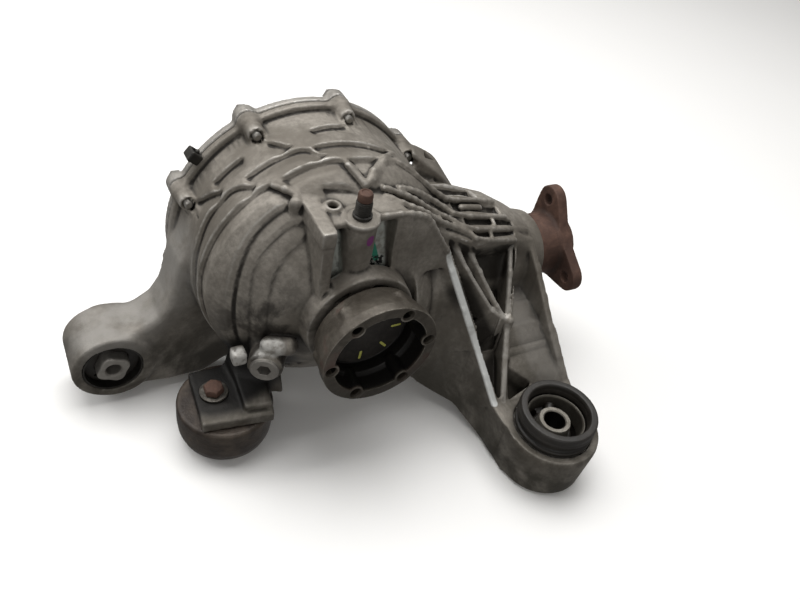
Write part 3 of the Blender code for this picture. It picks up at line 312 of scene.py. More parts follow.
COVER_INNER = [
    (0, 70), (117, 70), (116, 92), (108, 98), (90, 103.5), (43, 103.5), (43, 123.2), (0, 123.2),
]
LUG_ANGLES = [math.radians(-4.5 + 40.0 * i) for i in range(9)]
LUG_CIRCLE_R = 129.0
FRONT_BUSH = (181.0, -184.0, 0)
REAR_BUSH = (-202, 0, -108)
BREATHER = (-4, -56, 0)
VENT = (-23, -38, 0)  # the open column beside the breather
DRAIN = (20, 20, 0)
DAMPER = (-113, -41, 0)
DAMPER_BOLT = (-124, -40, 0)
PLUG_FACE = Vector((-84, -64, -47))
PLUG_AXIS = Vector((-0.5, -0.866, 0.0)).normalized()


def skin_radius(profile, station):
    return np.interp(station, [s for _, s in profile], [r for r, _ in profile])


def drum_point(angle, station, lift=0.0):
    """A point on the drum's skin."""
    radius = skin_radius(DRUM_SKIN, station) + lift
    return (radius * math.cos(math.radians(angle)), station, radius * math.sin(math.radians(angle)))


def nose_point(along, angle, lift=0.0):
    """A point on the nose's skin, its angle from the right side over the top."""
    radius = skin_radius(NOSE_SKIN, along) + lift
    turn = math.radians(angle)
    return (along, -radius * math.cos(turn), NOSE_AXIS[2] + radius * math.sin(turn))


def seal_bore(end, inward):
    start, seat, deep = end - 10 * inward, end + 12 * inward, end + 20 * inward
    return [(0, start), (31, start), (31, seat), (26, seat), (26, deep), (0, deep)]


# ---- Relief on the drum and the nose ----
DRUM_ARC = 2.05  # millimetres of surface in a degree round the drum
NOSE_ARC = 1.4
TERRACES = [  # edges that the drum's skin steps down from, as angles and stations
    [(154, 58), (146, 47), (140, 37)],
    [(184, 24), (172, 26), (163, 26), (152, 30), (142, 29), (134, 27), (127, 12)],
    [(186, 8), (174, 7), (163, 6), (151, 6), (135, 4), (125, 4), (120, 0), (117, -10), (114, -18)],
    [(184, -28), (176, -28), (166, -27), (153, -24), (139, -20), (125, -19), (116, -20)],
    [(184, -36), (174, -36), (162, -34), (149, -30), (136, -30), (125, -29), (118, -32)],
    [(184, -45), (174, -45), (164, -44), (154, -42), (142, -40), (132, -39), (122, -38), (114, -37)],
    [(140, 52), (133, 52), (126, 51)],
    [(127, 26), (115, 27), (104, 27), (100, 22), (96, 11)],
    [(115, 0), (106, 2), (97, 2), (91, 1), (89, -7), (84, -23)],
    [(114, 52), (110, 45), (107, 35)],
    [(97, 24), (88, 25), (78, 24), (70, 23), (63, 22)],
    [(94, 49), (88, 52), (75, 55)],
    [(102, -20), (94, -23), (87, -26)],
    [(82, -25), (67, -27)],
    [(73, -30), (62, -26), (51, -30)],
]
MIRRORED_TERRACES = slice(1, 6)  # those that go on below the axle
TERRACE_DROP = 5.0
TERRACE_RAMP = 15.0
TERRACE_STEP = 2.8
TERRACE_FADE = 4.0
TERRACE_LIP, LIP_WIDTH = 0.3, 7.0
RECESS = [(88, 0), (72, 2), (78, -17), (83, -21)]
RECESS_DEEP = 4.5
ANGLE_CELL, STATION_CELL, STATION_START = 0.5, 0.75, -90.0


def rounded(line):
    """The line with each of its corners cut into two."""
    result = [line[0]]
    for a, b in zip(line, line[1:]):
        result += [tuple(p * t + q * (1 - t) for p, q in zip(a, b)) for t in (0.75, 0.25)]
    return result + [line[-1]]


def drum_relief():
    """A lookup by angle and station of the terraces that the casting steps down in."""
    angles = np.arange(0.0, 360.0, ANGLE_CELL)
    stations = np.arange(STATION_START, 100.0, STATION_CELL)
    u = (angles * DRUM_ARC)[:, None]
    v = stations[None, :]
    drop = np.zeros((len(angles), len(stations)))
    lip = np.zeros_like(drop)
    below = [[(360 - a, s) for a, s in line] for line in TERRACES[MIRRORED_TERRACES]]
    for line in TERRACES + below:
        line = rounded(rounded(rounded(line)))
        best = np.full_like(drop, 1e9)
        side = np.zeros_like(drop)
        fade = np.ones_like(drop)
        points = [(a * DRUM_ARC, s) for a, s in line]
        for n, ((au, av), (bu, bv)) in enumerate(zip(points, points[1:])):
            eu, ev = bu - au, bv - av
            length = math.hypot(eu, ev)
            share = ((u - au) * eu + (v - av) * ev) / length**2
            kept = np.clip(share, 0, 1)
            du, dv = u - au - kept * eu, v - av - kept * ev
            gap = np.hypot(du, dv)
            past = np.zeros_like(gap)
            if n == 0:
                past = np.maximum(past, -share * length)
            if n == len(points) - 2:
                past = np.maximum(past, (share - 1) * length)
            closer = gap < best
            best = np.where(closer, gap, best)
            side = np.where(closer, np.where(dv < 0, -1.0, 1.0), side)
            fade = np.where(closer, np.clip(1 - past / TERRACE_FADE, 0, 1), fade)
        step = np.clip((side * best + TERRACE_STEP / 2) / TERRACE_STEP, 0, 1)
        step = step * step * (3 - 2 * step)
        ramp = np.clip(1 - best / TERRACE_RAMP, 0, 1)
        drop = np.minimum(drop, -TERRACE_DROP * ramp * fade * (1 - step))
        lip = np.maximum(lip, TERRACE_LIP * np.clip(1 - best / LIP_WIDTH, 0, 1) * fade * step)
    recess = outline_distance([(a * DRUM_ARC, s) for a, s in RECESS], u, v)
    drop = np.minimum(drop, -RECESS_DEEP * np.clip(-recess / 2.0, 0, 1))
    ease = np.interp(stations, [-50, -40, -26], [0.7, 0.85, 1.0])
    table = blurred(((drop + lip) * ease).astype(np.float32), 1)
    table = np.concatenate([table, table[:2]])

    def relief(angle, station):
        return lookup(table, (angle % 360.0) / ANGLE_CELL, (station - STATION_START) / STATION_CELL)

    return relief


NOSE_POCKETS = [  # angle range from the right side over the top, station range, how deep
    (75.0, 84.5, 116, 178, 5.5),
    (64.0, 71.0, 122, 192, 5.5),
    (54.5, 60.0, 124, 188, 5.5),
    (91.0, 107.0, 112, 160, 9.0),
    (112.0, 128.0, 128, 180, 5.0),
]
POCKET_EDGE = 3.2


def nose_relief(angle, station):
    """The pockets on the nose's top, and its flanks, which fall away below the ribs."""
    total = np.zeros(np.broadcast(angle, station).shape, np.float32)
    for first, last, near, far, deep in NOSE_POCKETS:
        inside = np.minimum((angle - first) * NOSE_ARC, (last - angle) * NOSE_ARC)
        inside = np.minimum(inside, np.minimum(station - near, far - station))
        total = np.minimum(total, -deep * np.clip(inside / POCKET_EDGE, 0, 1))
    start = np.interp(station, [85, 130, 200], [63, 51, 49])
    flank = np.clip((start - np.minimum(angle, 180.0 - angle)) / 9.0, 0, 1)
    most = np.interp(station, [60, 84, 170, 205, 222], [6, 26, 24, 8, 0]).astype(np.float32)
    return total - most * flank


# ---- Ribs ----
DRUM_RIBS = [
    [(83, -24), (78, -13), (70, 4), (61, 20)],
    [(79, -20), (71, -1), (63, 5), (56, 3), (49, -2)],
    [(114, -18), (117, -10), (120, -1)],
    [(89, -7), (84, -23)],
]
FLOWING_RIBS = [  # from the drum over the saddle and along the nose
    [(59, 2, 111), (82, -5, 94), (101, -8, 78), (115, -10, 69), (159, -5, 58), (176, -3, 52)],
    [(47, -25, 104), (66, -21, 95), (82, -17, 84), (100, -17, 72), (115, -30, 64), (181, -22, 46)],
    [
        (30, -27, 108), (50, -30, 100), (66, -30, 90), (83, -28, 76), (104, -32, 65), (121, -43, 57),
        (165, -38, 45), (215, -22, 23),
    ],
    [
        (30, -33, 103), (47, -43, 98), (65, -46, 90), (82, -42, 75), (101, -39, 63), (122, -45, 54),
        (128, -53, 50), (184, -44, 32),
    ],
]
NOSE_RIBS = [  # start and end as station, angle and lift, then radius
    ((160, 64), (160, 68), 2.2),
    ((150, 55), (150, 59), 2.2),
    ((128, 79.5, -2.0), (152, 80.5, -2.0), 3.6),
]


def add_path(field, points, radius, blend):
    for a, b in zip(points, points[1:]):
        field.add(bar(a, b, radius), blend)


def add_surface_ribs(field):
    for line in DRUM_RIBS:
        add_path(field, [drum_point(a, s, -0.6) for a, s in line], 2.8, 3.0)
    for line in FLOWING_RIBS:
        line = rounded(line)
        add_path(field, line, 2.3, 2.5)
        for a, b in zip(line, line[1:]):
            field.add(fin(a, b, (0.0, -0.4, 1.0), 3.6, 0.0, 9.0, 1.0), 2.0)
    for start, end, radius in NOSE_RIBS:
        field.add(bar(nose_point(*start), nose_point(*end), radius), 1.5)


# ---- Front arms ----
# Cross sections going out from the housing: Y, then X and Z of the rear and the front of the top, then of
# the bottom.
ARM_SECTIONS = [
    (-10, (62, 74), (196, 18), (62, -100), (196, -70)),
    (-36, (84, 75), (217, 18), (80, -130), (212, -76)),
    (-61, (101, 25), (219, -5), (94, -136), (214, -98)),
    (-101, (126, -50), (226, -52), (120, -138), (224, -128)),
    (-141, (135, -97), (235, -98), (133, -152), (232, -152)),
    (-184, (133, -99), (229, -99), (135, -156), (227, -156)),
]
# Hollows from the top: Y, where they start and end in X, and how deep they are there.
DEEP_HOLLOW = [
    (-20, 90, 192, 52), (-40, 93, 188, 52), (-61, 108, 181, 50), (-90, 126, 168, 46), (-138, 141, 151, 26),
]
# The shallow web beside them: Y, where it starts and ends in X, and the height of its floor.
WEB_HOLLOW = [
    (-42, 191, 211, -36), (-64, 181, 213, -42), (-86, 173, 216, -52), (-108, 166, 220, -72),
    (-146, 158, 225, -99),
]
HOLLOW_TOP = 60
REAR_FIN = [(86, -30), (101, -61), (126, -101), (136, -141), (135, -165)]
FRONT_FIN = [(214, -36), (222, -101), (231, -141)]
# The fins between them, whose tops are painted pale, as abraded metal and painted highlight. They meet at a
# round boss.
MIDDLE_FINS = [
    [(90, -28), (120, -60), (148, -83), (166, -90)],
    [(108, -28), (136, -61), (155, -81), (166, -90)],
    [(184, -38), (166, -88)],
]
OUTER_FIN = [(166, -90), (158, -112), (147, -141)]
FIN_BOSS = (167, -91)
FIN_PIECE = 25.0  # the longest straight stretch of a fin


def arm_z(x, y):
    """The arm's sloping top."""
    out = [-section[0] for section in ARM_SECTIONS]
    values = [np.interp(-y, out, [s[1 + i][j] for s in ARM_SECTIONS]) for i in (0, 1) for j in (0, 1)]
    rear_x, rear_z, front_x, front_z = values
    return rear_z + (front_z - rear_z) * (x - rear_x) / (front_x - rear_x)


def arm_fin(arm, points, width, drop):
    for (ax, ay), (bx, by) in zip(points, points[1:]):
        count = max(1, round(math.hypot(bx - ax, by - ay) / FIN_PIECE))
        for i in range(count):
            ends = []
            for share in (i / count, (i + 1) / count):
                x, y = ax + (bx - ax) * share, ay + (by - ay) * share
                ends.append((x, y, arm_z(x, y)))
            arm.add(fin(*ends, (0.0, 0.0, 1.0), width, 0.4, drop, 2.4), 2.0)


def hollow_out(arm, sections, heights, soft, blend):
    """Cuts a hollow through the sections. heights gives its floor and top from X, Y and the last value."""
    for pair in zip(sections, sections[1:]):
        points = []
        for y, left, right, value in pair:
            points += [(x, y, z) for x in (left, right) for z in heights(x, y, value)]
        arm.cut(hull(points, soft), blend)


def front_arm_field(step):
    arm = Field((50, -240, -166), (240, 2, 96), step)
    for near, far in zip(ARM_SECTIONS, ARM_SECTIONS[1:]):
        points = [(p[0], section[0], p[1]) for section in (near, far) for p in section[1:]]
        arm.add(hull(points, 2.0), 3.0)
    hollow_out(arm, DEEP_HOLLOW, lambda x, y, deep: (arm_z(x, y) - deep, arm_z(x, y) + HOLLOW_TOP), 1.5, 0.0)
    hollow_out(arm, WEB_HOLLOW, lambda x, y, floor: (floor, HOLLOW_TOP), 3.0, 3.0)
    beside_boss = [(160, -112), (186, -134), (154, -142)]
    arm.cut(hull([(x, y, arm_z(x, y) + lift) for x, y in beside_boss for lift in (-28, 40)], 2.0), 1.2)
    arm_fin(arm, REAR_FIN, 6.0, 50)
    for line in MIDDLE_FINS:
        arm_fin(arm, line, 5.0, 56)
    arm_fin(arm, OUTER_FIN, 6.0, 45)
    arm_fin(arm, FRONT_FIN, 7.0, 50)
    boss_z = arm_z(*FIN_BOSS)
    arm.add(bar((*FIN_BOSS, boss_z - 8), (*FIN_BOSS, boss_z + 2.0), 5.0), 1.5)
    underside = [(104, -70, -80), (205, -70, -66), (150, -126, -132), (208, -126, -132)]
    before_boss = [(148, -132, -120), (214, -132, -120), (148, -148, -120), (214, -148, -120)]
    for points in (underside, before_boss):
        arm.cut(hull(down_to(points, -170), 4.0), 2.0)
    boss = [(0, -156), (43, -156), (46, -152), (49, -104), (48, -98), (0, -98)]
    arm.add(turned(boss, "Z", FRONT_BUSH, 1.2), 4.0)
    arm.cut(block((100, -240, -98), (250, -143, -60), 3.0), 1.0)
    return arm


def add_far_shoulder(field):
    """The web that joins the drum's rim to the left arm."""
    web = [
        (100, 50, 90), (118, 80, 78), (148, 80, 62), (170, 72, 30), (190, 60, 4), (140, 40, 58),
        (120, 40, 10), (150, 84, -30),
    ]
    pocket = [(122, 58, 60), (142, 66, 56), (132, 74, 60), (128, 60, 90), (150, 70, 86), (138, 80, 90)]
    field.add(hull(web, 3.0), 5.0)
    field.cut(hull(pocket, 2.0), 2.0)


def merge(field, part, side, blend):
    """Adds one field to another, the right way round or turned to the left."""
    values = part.d if side > 0 else part.d[:, ::-1, :]
    low = part.low.copy()
    if side < 0:
        low[1] = -part.axes[1][-1]
    start = np.round((low - field.low) / field.step).astype(int)
    first = np.maximum(start, 0)
    last = np.minimum(start + values.shape, field.d.shape)
    here = tuple(slice(a, b) for a, b in zip(first, last))
    there = tuple(slice(a - s, b - s) for a, b, s in zip(first, last, start))
    field.d[here] = smooth_min(field.d[here], values[there], blend)


# ---- The rest of the housing ----
REAR_ARM_OUTLINE = [
    (-206, -74), (-188, -72), (-170, -67), (-155, -57), (-145, -41), (-139, -18), (-134, 4), (-120, 26),
    (-96, 44), (-50, 10), (-48, -120), (-92, -136), (-112, -148), (-150, -149), (-178, -145), (-206, -143),
]


def slab(outline, low_y, high_y, soft, edge):
    """A flat-sided solid with an outline in X and Z, its corners and its long edges rounded."""
    array = np.array(outline, float)
    pad, spare = 30, 26
    low, high = array.min(0) - pad, array.max(0) + pad
    u = np.arange(low[0], high[0], 1.0)[:, None]
    v = np.arange(low[1], high[1], 1.0)[None, :]
    table = blurred(outline_distance(outline, u, v), round(soft)).astype(np.float32)

    def distance(x, y, z):
        side = lookup(table, x - low[0], z - low[1])
        middle, half = (low_y + high_y) / 2, (high_y - low_y) / 2
        return smooth_max(side + 0 * y, np.abs(y - middle) - half + 0 * x, edge)

    return distance, (low[0] + spare, low_y, low[1] + spare), (high[0] - spare, high_y, high[1] - spare)


def add_rear_arm(field):
    near, far = 30, 84
    field.add(slab(REAR_ARM_OUTLINE, near + 4, far - 1, 3.0, 9.0), 5.0)
    field.add(rod("Y", REAR_BUSH, 38, near, far, 2.0), 9.0)
    field.cut(block((-140, 66, -180), (-60, 90, -30), 3.0), 3.0)


def add_lugs(field, near, far, taper):
    """The lugs that the cover bolts pass through. A tapered one runs out on the drum."""
    for turn in LUG_ANGLES:
        x, z = around(LUG_CIRCLE_R, turn)
        if not taper:
            field.add(rod("Y", (x, 0, z), 10.8, near, far, 1.2), 4.0)
            continue
        lug = [(0, near), (7.6, near), (8.4, near + 12), (10.6, near + 15), (10.9, far), (0, far)]
        field.add(turned(lug, "Y", (x, 0, z), 1.2), 4.0)
        foot_x, foot_z = around(119, turn)
        field.add(bar((x * 0.975, near + 6, z * 0.975), (foot_x, near - 20, foot_z), 6.5, 2.5), 5.0)
        field.cut(rod("Y", (x, 0, z), 6.4, near - 5, near + 1.4, 0.4, 5.0))


def drill_lugs(field, near, far):
    for turn in LUG_ANGLES:
        x, z = around(LUG_CIRCLE_R, turn)
        field.cut(rod("Y", (x, 0, z), 4.4, near, far, 0.4))


def add_end_wall(field):
    """The breather's deck, the walls under it and the columns beside it."""
    deck = [
        (-40, -4, 103), (30, -4, 106), (-38, -57, 103), (44, -57, 100),
        (-40, -4, 30), (54, -4, 30), (-38, -60, 36), (48, -58, 36),
    ]
    field.add(hull(deck, 3.0), 6.0)
    wall = [(40, -57, 99), (58, -56, 93), (66, -55, 88), (80, -54, 66), (96, -54, 42), (99, -57, 26)]
    wall.append((40, -58, 26))
    field.add(hull(wall + [(x - 6, -24, z - 7) for x, _, z in wall], 2.0), 4.0)
    rim = [(12, -56, 101), (40, -56, 100), (57, -55, 94), (66, -54, 88), (80, -53, 66), (97, -54, 41)]
    add_path(field, rounded(rim), 2.6, 2.0)
    for left, right in ((-31, -15), (6, 31)):
        niche = [(left, -90, 28), (right, -90, 28), (left, -56, 32), (right, -56, 32)]
        niche += [(left, -90, 96), (right, -90, 96), (left + 1, -37, 96), (right - 1, -37, 96)]
        field.cut(hull(niche, 4.0), 2.0)
    buttress = [
        (-45, -70, 104), (-32, -70, 104), (-45, -20, 106), (-32, -20, 106),
        (-42, -72, 28), (-33, -72, 28), (-45, -10, 28), (-32, -10, 28),
    ]
    field.add(hull(buttress, 2.0), 3.0)
    field.add(fin((-39, -20, 103), (-39, -66, 101), (0, 0, 1), 13.0, 3.5, 12.0, 1.6), 1.5)
    field.add(bar((-50, -22, 96), (-50, -24, 103), 5.5), 2.0)
    field.add(turned([(0, 90), (8.5, 90), (8.0, 107), (0, 107)], "Z", VENT, 0.8), 2.5)
    field.cut(rod("Z", VENT, 4.6, 98, 120, 0.4))
    field.add(bar((44, -38, 80), (50, -42, -50), 15.0), 7.0)
    column = [(0, 24), (9, 24), (10.5, 36), (13.6, 66), (14.2, 98), (15.8, 100), (15.8, 104), (0, 104)]
    field.add(turned(column, "Z", BREATHER, 1.0), 3.5)
    field.cut(rod("Z", BREATHER, 14.4, 103.2, 110, 0.4, 12.0))


def round_boss(face, axis, radius, deep, rise):
    """A short round solid on any axis, from deep below face to rise above it."""

    def distance(x, y, z):
        p = (x - face.x, y - face.y, z - face.z)
        along = p[0] * axis.x + p[1] * axis.y + p[2] * axis.z
        radial = np.sqrt(np.maximum(p[0] ** 2 + p[1] ** 2 + p[2] ** 2 - along**2, 0))
        return smooth_max(radial - radius, np.maximum(along - rise, -along - deep), 1.5)

    reach = radius + deep + abs(rise)
    return distance, [c - reach for c in face], [c + reach for c in face]


def add_bottom_fittings(field):
    """The plate that holds the damper, and the bosses of the plugs."""
    plate = [(-144, -74), (-78, -82), (-70, -10), (-140, -8)]
    field.add(hull([(x, y, z) for x, y in plate for z in (-105.7, -94)], 2.0), 3.0)
    step = [(-104, -72), (-78, -76), (-70, -10), (-100, -10)]
    field.add(hull([(x, y, z) for x, y in step for z in (-104, -86)], 3.0), 3.0)
    gusset = [
        (-100, -30, -100), (-60, -60, -100), (-62, -10, -100), (-104, -6, -100),
        (-92, -20, -40), (-60, -30, -50), (-60, -2, -40), (-94, -2, -35),
    ]
    field.add(hull(gusset, 4.0), 8.0)
    field.add(bar(PLUG_FACE - PLUG_AXIS * 42, PLUG_FACE - PLUG_AXIS * 6, 21.0, 15.0), 5.0)
    field.add(round_boss(PLUG_FACE, PLUG_AXIS, 16.5, 14.0, 0.0), 2.0)
    field.add(bar(PLUG_FACE + Vector((6, 8, 20)), PLUG_FACE + Vector((22, 0, 21)), 8.5), 4.0)
    field.add(block((-112, -60, -42), (-99, -46, -28), 2.5), 3.0)
    field.add(turned([(0, -134), (17, -134), (18, -112), (0, -112)], "Z", DRAIN, 1.0), 4.0)


def housing_field():
    step = cell_size(1.5)
    field = Field((-250, -240, -166), (242, 240, 150), step)
    field.add(turned(DRUM_OUTER, "Y", soft=1.2, relief=drum_relief()))
    field.add(turned(NOSE_OUTER, "X", NOSE_AXIS, 1.6, nose_relief), 12.0)
    arm = front_arm_field(step)
    for side in (1, -1):
        merge(field, arm, side, 5.0)
    add_far_shoulder(field)
    add_rear_arm(field)
    add_bottom_fittings(field)
    add_end_wall(field)
    add_surface_ribs(field)
    add_lugs(field, 61, 90, True)
    field.cut(block((-160, SPLIT_Y, -160), (160, 110, 170), 0.0))
    field.add(turned([(43, -78), (52, -78), (54, -60), (43, -60)], "Y", soft=0.8), 2.0)
    for profile in (DRUM_CAVITY, seal_bore(-78, 1)):
        field.cut(turned(profile, "Y"))
    for profile in (NOSE_GALLERY, NOSE_BORE):
        field.cut(turned(profile, "X", NOSE_AXIS))
    drill_lugs(field, 40, 100)
    field.cut(round_boss(PLUG_FACE, PLUG_AXIS, 11.8, 60, 10))
    field.cut(rod("Z", DRAIN, 9.8, -150, -100))
    field.cut(rod("Z", BREATHER, 4.8, 88, 115))
    bush_bore = rod("Z", FRONT_BUSH, 40.5, -170, -50)
    field.cut(bush_bore)
    field.cut(mirrored(bush_bore))
    field.cut(rod("Y", REAR_BUSH, 28.5, 20, 94))
    field.cut(rod("Z", DAMPER_BOLT, 6.5, -120, -80))
    field.cut(block((-260, -250, -200), (260, 250, GROUND_Z), 0.0))
    return field


# ---- Fields of the other pieces ----
def cover_field():
    field = Field((-150, 82, -150), (150, 142, 150), cell_size(1.4))
    field.add(turned(COVER_OUTER, "Y", soft=1.2))
    add_lugs(field, 80, 99.6, False)
    for i in range(18):
        turn = math.radians(-4.5 + 20.0 * i)
        (ax, az), (bx, bz) = around(50, turn), around(121, turn)
        rise = 5.0 if i % 2 == 0 else 3.0
        field.add(fin((ax, 119, az), (bx, 97, bz), (0, 1, 0), 5.0, rise, 10.0, 1.6), 4.0)
    field.cut(block((-160, 60, -160), (160, 87.6, 160), 0.0))
    field.cut(turned(COVER_INNER, "Y"))
    field.cut(turned(seal_bore(138, -1), "Y"))
    drill_lugs(field, 60, 120)
    return field


OUTPUT_OUTER = [
    (0, -88), (41.5, -88), (41.5, -121), (55, -121), (55, -112), (49, -86), (45, -83), (22, -81),
    (22, -65.5), (16, -65), (16, -9), (0, -9),
]
OUTPUT_HOLES_R = 47
MIDDLE_Y = 30.0  # half way between the two output flanges


def output_field(left):
    """A cup with six ears and a stub. On the left the cup is mirrored about MIDDLE_Y and the stub about 0."""
    profile, low_y, high_y = OUTPUT_OUTER, -124, -4
    if left:
        profile = [(r, 2 * MIDDLE_Y - s if s < -50 else -s) for r, s in profile]
        low_y, high_y = 4, 184
    field = Field((-58, low_y, -58), (58, high_y, 58), cell_size(0.8))

    def sided(shape):
        return mirrored(shape, MIDDLE_Y) if left else shape

    field.add(turned(profile, "Y"))
    field.cut(sided(turned([(0, -130), (44.5, -130), (44.5, -104), (42, -100), (0, -100)], "Y")))
    spots = [around(OUTPUT_HOLES_R, math.radians(6.5 + 60.0 * i)) for i in range(6)]
    for x, z in spots:
        field.add(sided(rod("Y", (x, 0, z), 7.6, -121, -96)), 1.5)
    hole = [(0, -130), (5.6, -130), (5.6, -120), (4.6, -119), (4.6, -104), (0, -104)]
    for x, z in spots:
        field.cut(sided(turned(hole, "Y", (x, 0, z), 0.4)))
    return field


def input_field():
    """The flange with three arms on the pinion's end."""
    field = Field((206, -74, -96), (292, 74, 54), cell_size(0.9))
    hub = [(0, 209.5), (24, 209.5), (24, 241), (34.5, 242), (35, 272), (33, 285), (31, 290), (0, 290)]
    field.add(turned(hub, "X", NOSE_AXIS, 0.8))
    nose_z = NOSE_AXIS[2]
    holes = []
    for degrees in (106.0, -14.0, -134.0):
        turn = math.radians(degrees)
        y, z = -math.cos(turn), math.sin(turn)
        holes.append((51 * y, nose_z + 51 * z))
        points = []
        for i in range(16):
            angle = math.tau * i / 16
            for x in (270, 283):
                for out, radius in ((51, 16.5), (10, 30)):
                    across, up = around(radius, angle)
                    points.append((x, out * y + across, nose_z + out * z + up))
        field.add(hull(points, 2.0), 5.0)
    for y, z in holes:
        field.cut(rod("X", (0, y, z), 6.2, 250, 300, 0.5))
    bore = [(0, 190), (14.5, 190), (14.5, 271.5), (23.5, 271.5), (25, 300), (0, 300)]
    field.cut(turned(bore, "X", NOSE_AXIS))
    return field


def front_rubber_field():
    """The rubber of a front bush: a body with two rows of voids, and a round lip on its top."""
    x, y, _ = FRONT_BUSH
    field = Field((x - 44, y - 44, -156), (x + 44, y + 44, -70), cell_size(0.7))
    body = [(17.4, -152), (38.0, -152), (38.0, -98), (37.0, -95), (33, -104), (22, -106), (17.4, -103)]
    lip = [
        (33.0, -110), (37.4, -108), (37.0, -84), (40.0, -81), (40.0, -76.5), (39.0, -74), (32.5, -74),
        (31.5, -77), (32.0, -84),
    ]
    bead = [(31.5, -86), (40.4, -85), (40.4, -82), (31.5, -81)]
    collar = [(33.0, -99), (40.0, -98), (40.0, -94), (33.0, -92)]
    for profile, soft, blend in ((body, 0.8, 0.0), (lip, 0.8, 1.5), (bead, 0.6, 1.5), (collar, 0.6, 1.5)):
        field.add(turned(profile, "Z", FRONT_BUSH, soft), blend)
    for start in (150.0, -30.0):
        for i in range(13):
            across, along = around(25.5, math.radians(start - 48 + 8 * i))
            field.cut(rod("Z", (x + across, y + along, 0), 4.2, -148, -90, 0.4), 1.0)
    for turn in (math.radians(60.0), math.radians(240.0)):
        (ax, ay), (bx, by) = around(18, turn), around(33, turn)
        field.add(bar((x + ax, y + ay, -104), (x + bx, y + by, -100), 5.5), 2.0)
    return field


def insert_field():
    """The steel ring inside a front bush."""
    field = Field((140, -226, -112), (222, -142, -80), 0.7)
    profile = [(27.6, -108), (30.8, -108), (30.8, -88), (29.6, -86), (27.6, -88)]
    field.add(turned(profile, "Z", FRONT_BUSH, 0.5))
    return field


def lobed(x, z, radius):
    """How far a place is from a round shape with four low lobes, on the rear bush's axis."""
    across, up = x - REAR_BUSH[0], z - REAR_BUSH[2]
    turn = np.arctan2(up, across) - math.radians(20)
    return np.sqrt(across**2 + up**2) - (radius + 1.5 * np.cos(4 * turn))


def rear_rubber_field():
    field = Field((-232, 26, -138), (-172, 88, -78), cell_size(0.6))
    outer = [(0, 40), (26.4, 40), (26.4, 43), (25, 43), (25, 71), (26.4, 71), (26.4, 74), (0, 74)]
    field.add(turned(outer, "Y", REAR_BUSH))
    field.cut((lambda x, y, z: lobed(x, z, 15.3) + 0 * y, (-222, 26, -128), (-182, 88, -88)))
    for turn in (70, 250):
        for i in range(-3, 4):
            x, z = around(20.8, math.radians(turn) + math.radians(9 * i))
            spot = (REAR_BUSH[0] + x, 0, REAR_BUSH[2] + z)
            field.cut(rod("Y", spot, 2.0, 30, 84, 0.4), 0.6)
    return field


def rear_core_field():
    field = Field((-222, 24, -128), (-182, 90, -88), cell_size(0.6))

    def core(x, y, z):
        return smooth_max(lobed(x, z, 14.8), np.abs(y - 57) - 29, 2.0)

    field.add((core, (-222, 28, -128), (-182, 86, -88)))
    bore = [(0, 20), (8.4, 20), (8.4, 28.4), (7, 30), (7, 84), (8.4, 85.6), (8.4, 94), (0, 94)]
    field.cut(turned(bore, "Y", REAR_BUSH, 0.4))
    return field


def damper_field():
    field = Field((-164, -92, -160), (-62, 10, -100), cell_size(0.9))
    weight = [
        (0, -156), (28, -156), (36, -153.5), (42, -147), (45, -138), (46, -128), (46, -108.5), (44, -106),
        (0, -106),
    ]
    field.add(turned(weight, "Z", DAMPER, 1.6))
    field.cut(rod("Z", DAMPER_BOLT, 6.6, -170, -90, 0.4))
    return field


def clip_field():
    """The spring clip in its own layout, X outward and Z along the axle."""
    field = Field((128, -10, 70), (152, 10, 96), 0.5)
    field.add(block((132.4, -5.0, 76), (144.5, 5.0, 90), 1.6))
    field.cut(block((135.5, -8, 79), (142.5, 8, 87.5), 0.8))
    field.add(block((136.0, -3.4, 78), (143.0, 3.4, 89), 1.0), 0.6)
    field.add(bar((138, -5.5, 83), (138, 5.5, 83), 2.0), 0.6)
    return field


CLIP_TURN = math.radians(140.0)


def clip_turned(points):
    """From the clip's own layout to its place on the rim."""
    x, side, y = points[:, 0], points[:, 1], points[:, 2]
    turned_x = x * math.cos(CLIP_TURN) - side * math.sin(CLIP_TURN)
    turned_z = x * math.sin(CLIP_TURN) + side * math.cos(CLIP_TURN)
    return np.stack([turned_x, y, turned_z], 1)


# ---- Materials ----
def linear(rgb):
    """A colour given as it looks on screen, 0 to 255, as the shader wants it."""
    result = []
    for value in rgb:
        c = value / 255.0
        result.append(c / 12.92 if c <= 0.04045 else ((c + 0.055) / 1.055) ** 2.4)
    return (*result, 1.0)


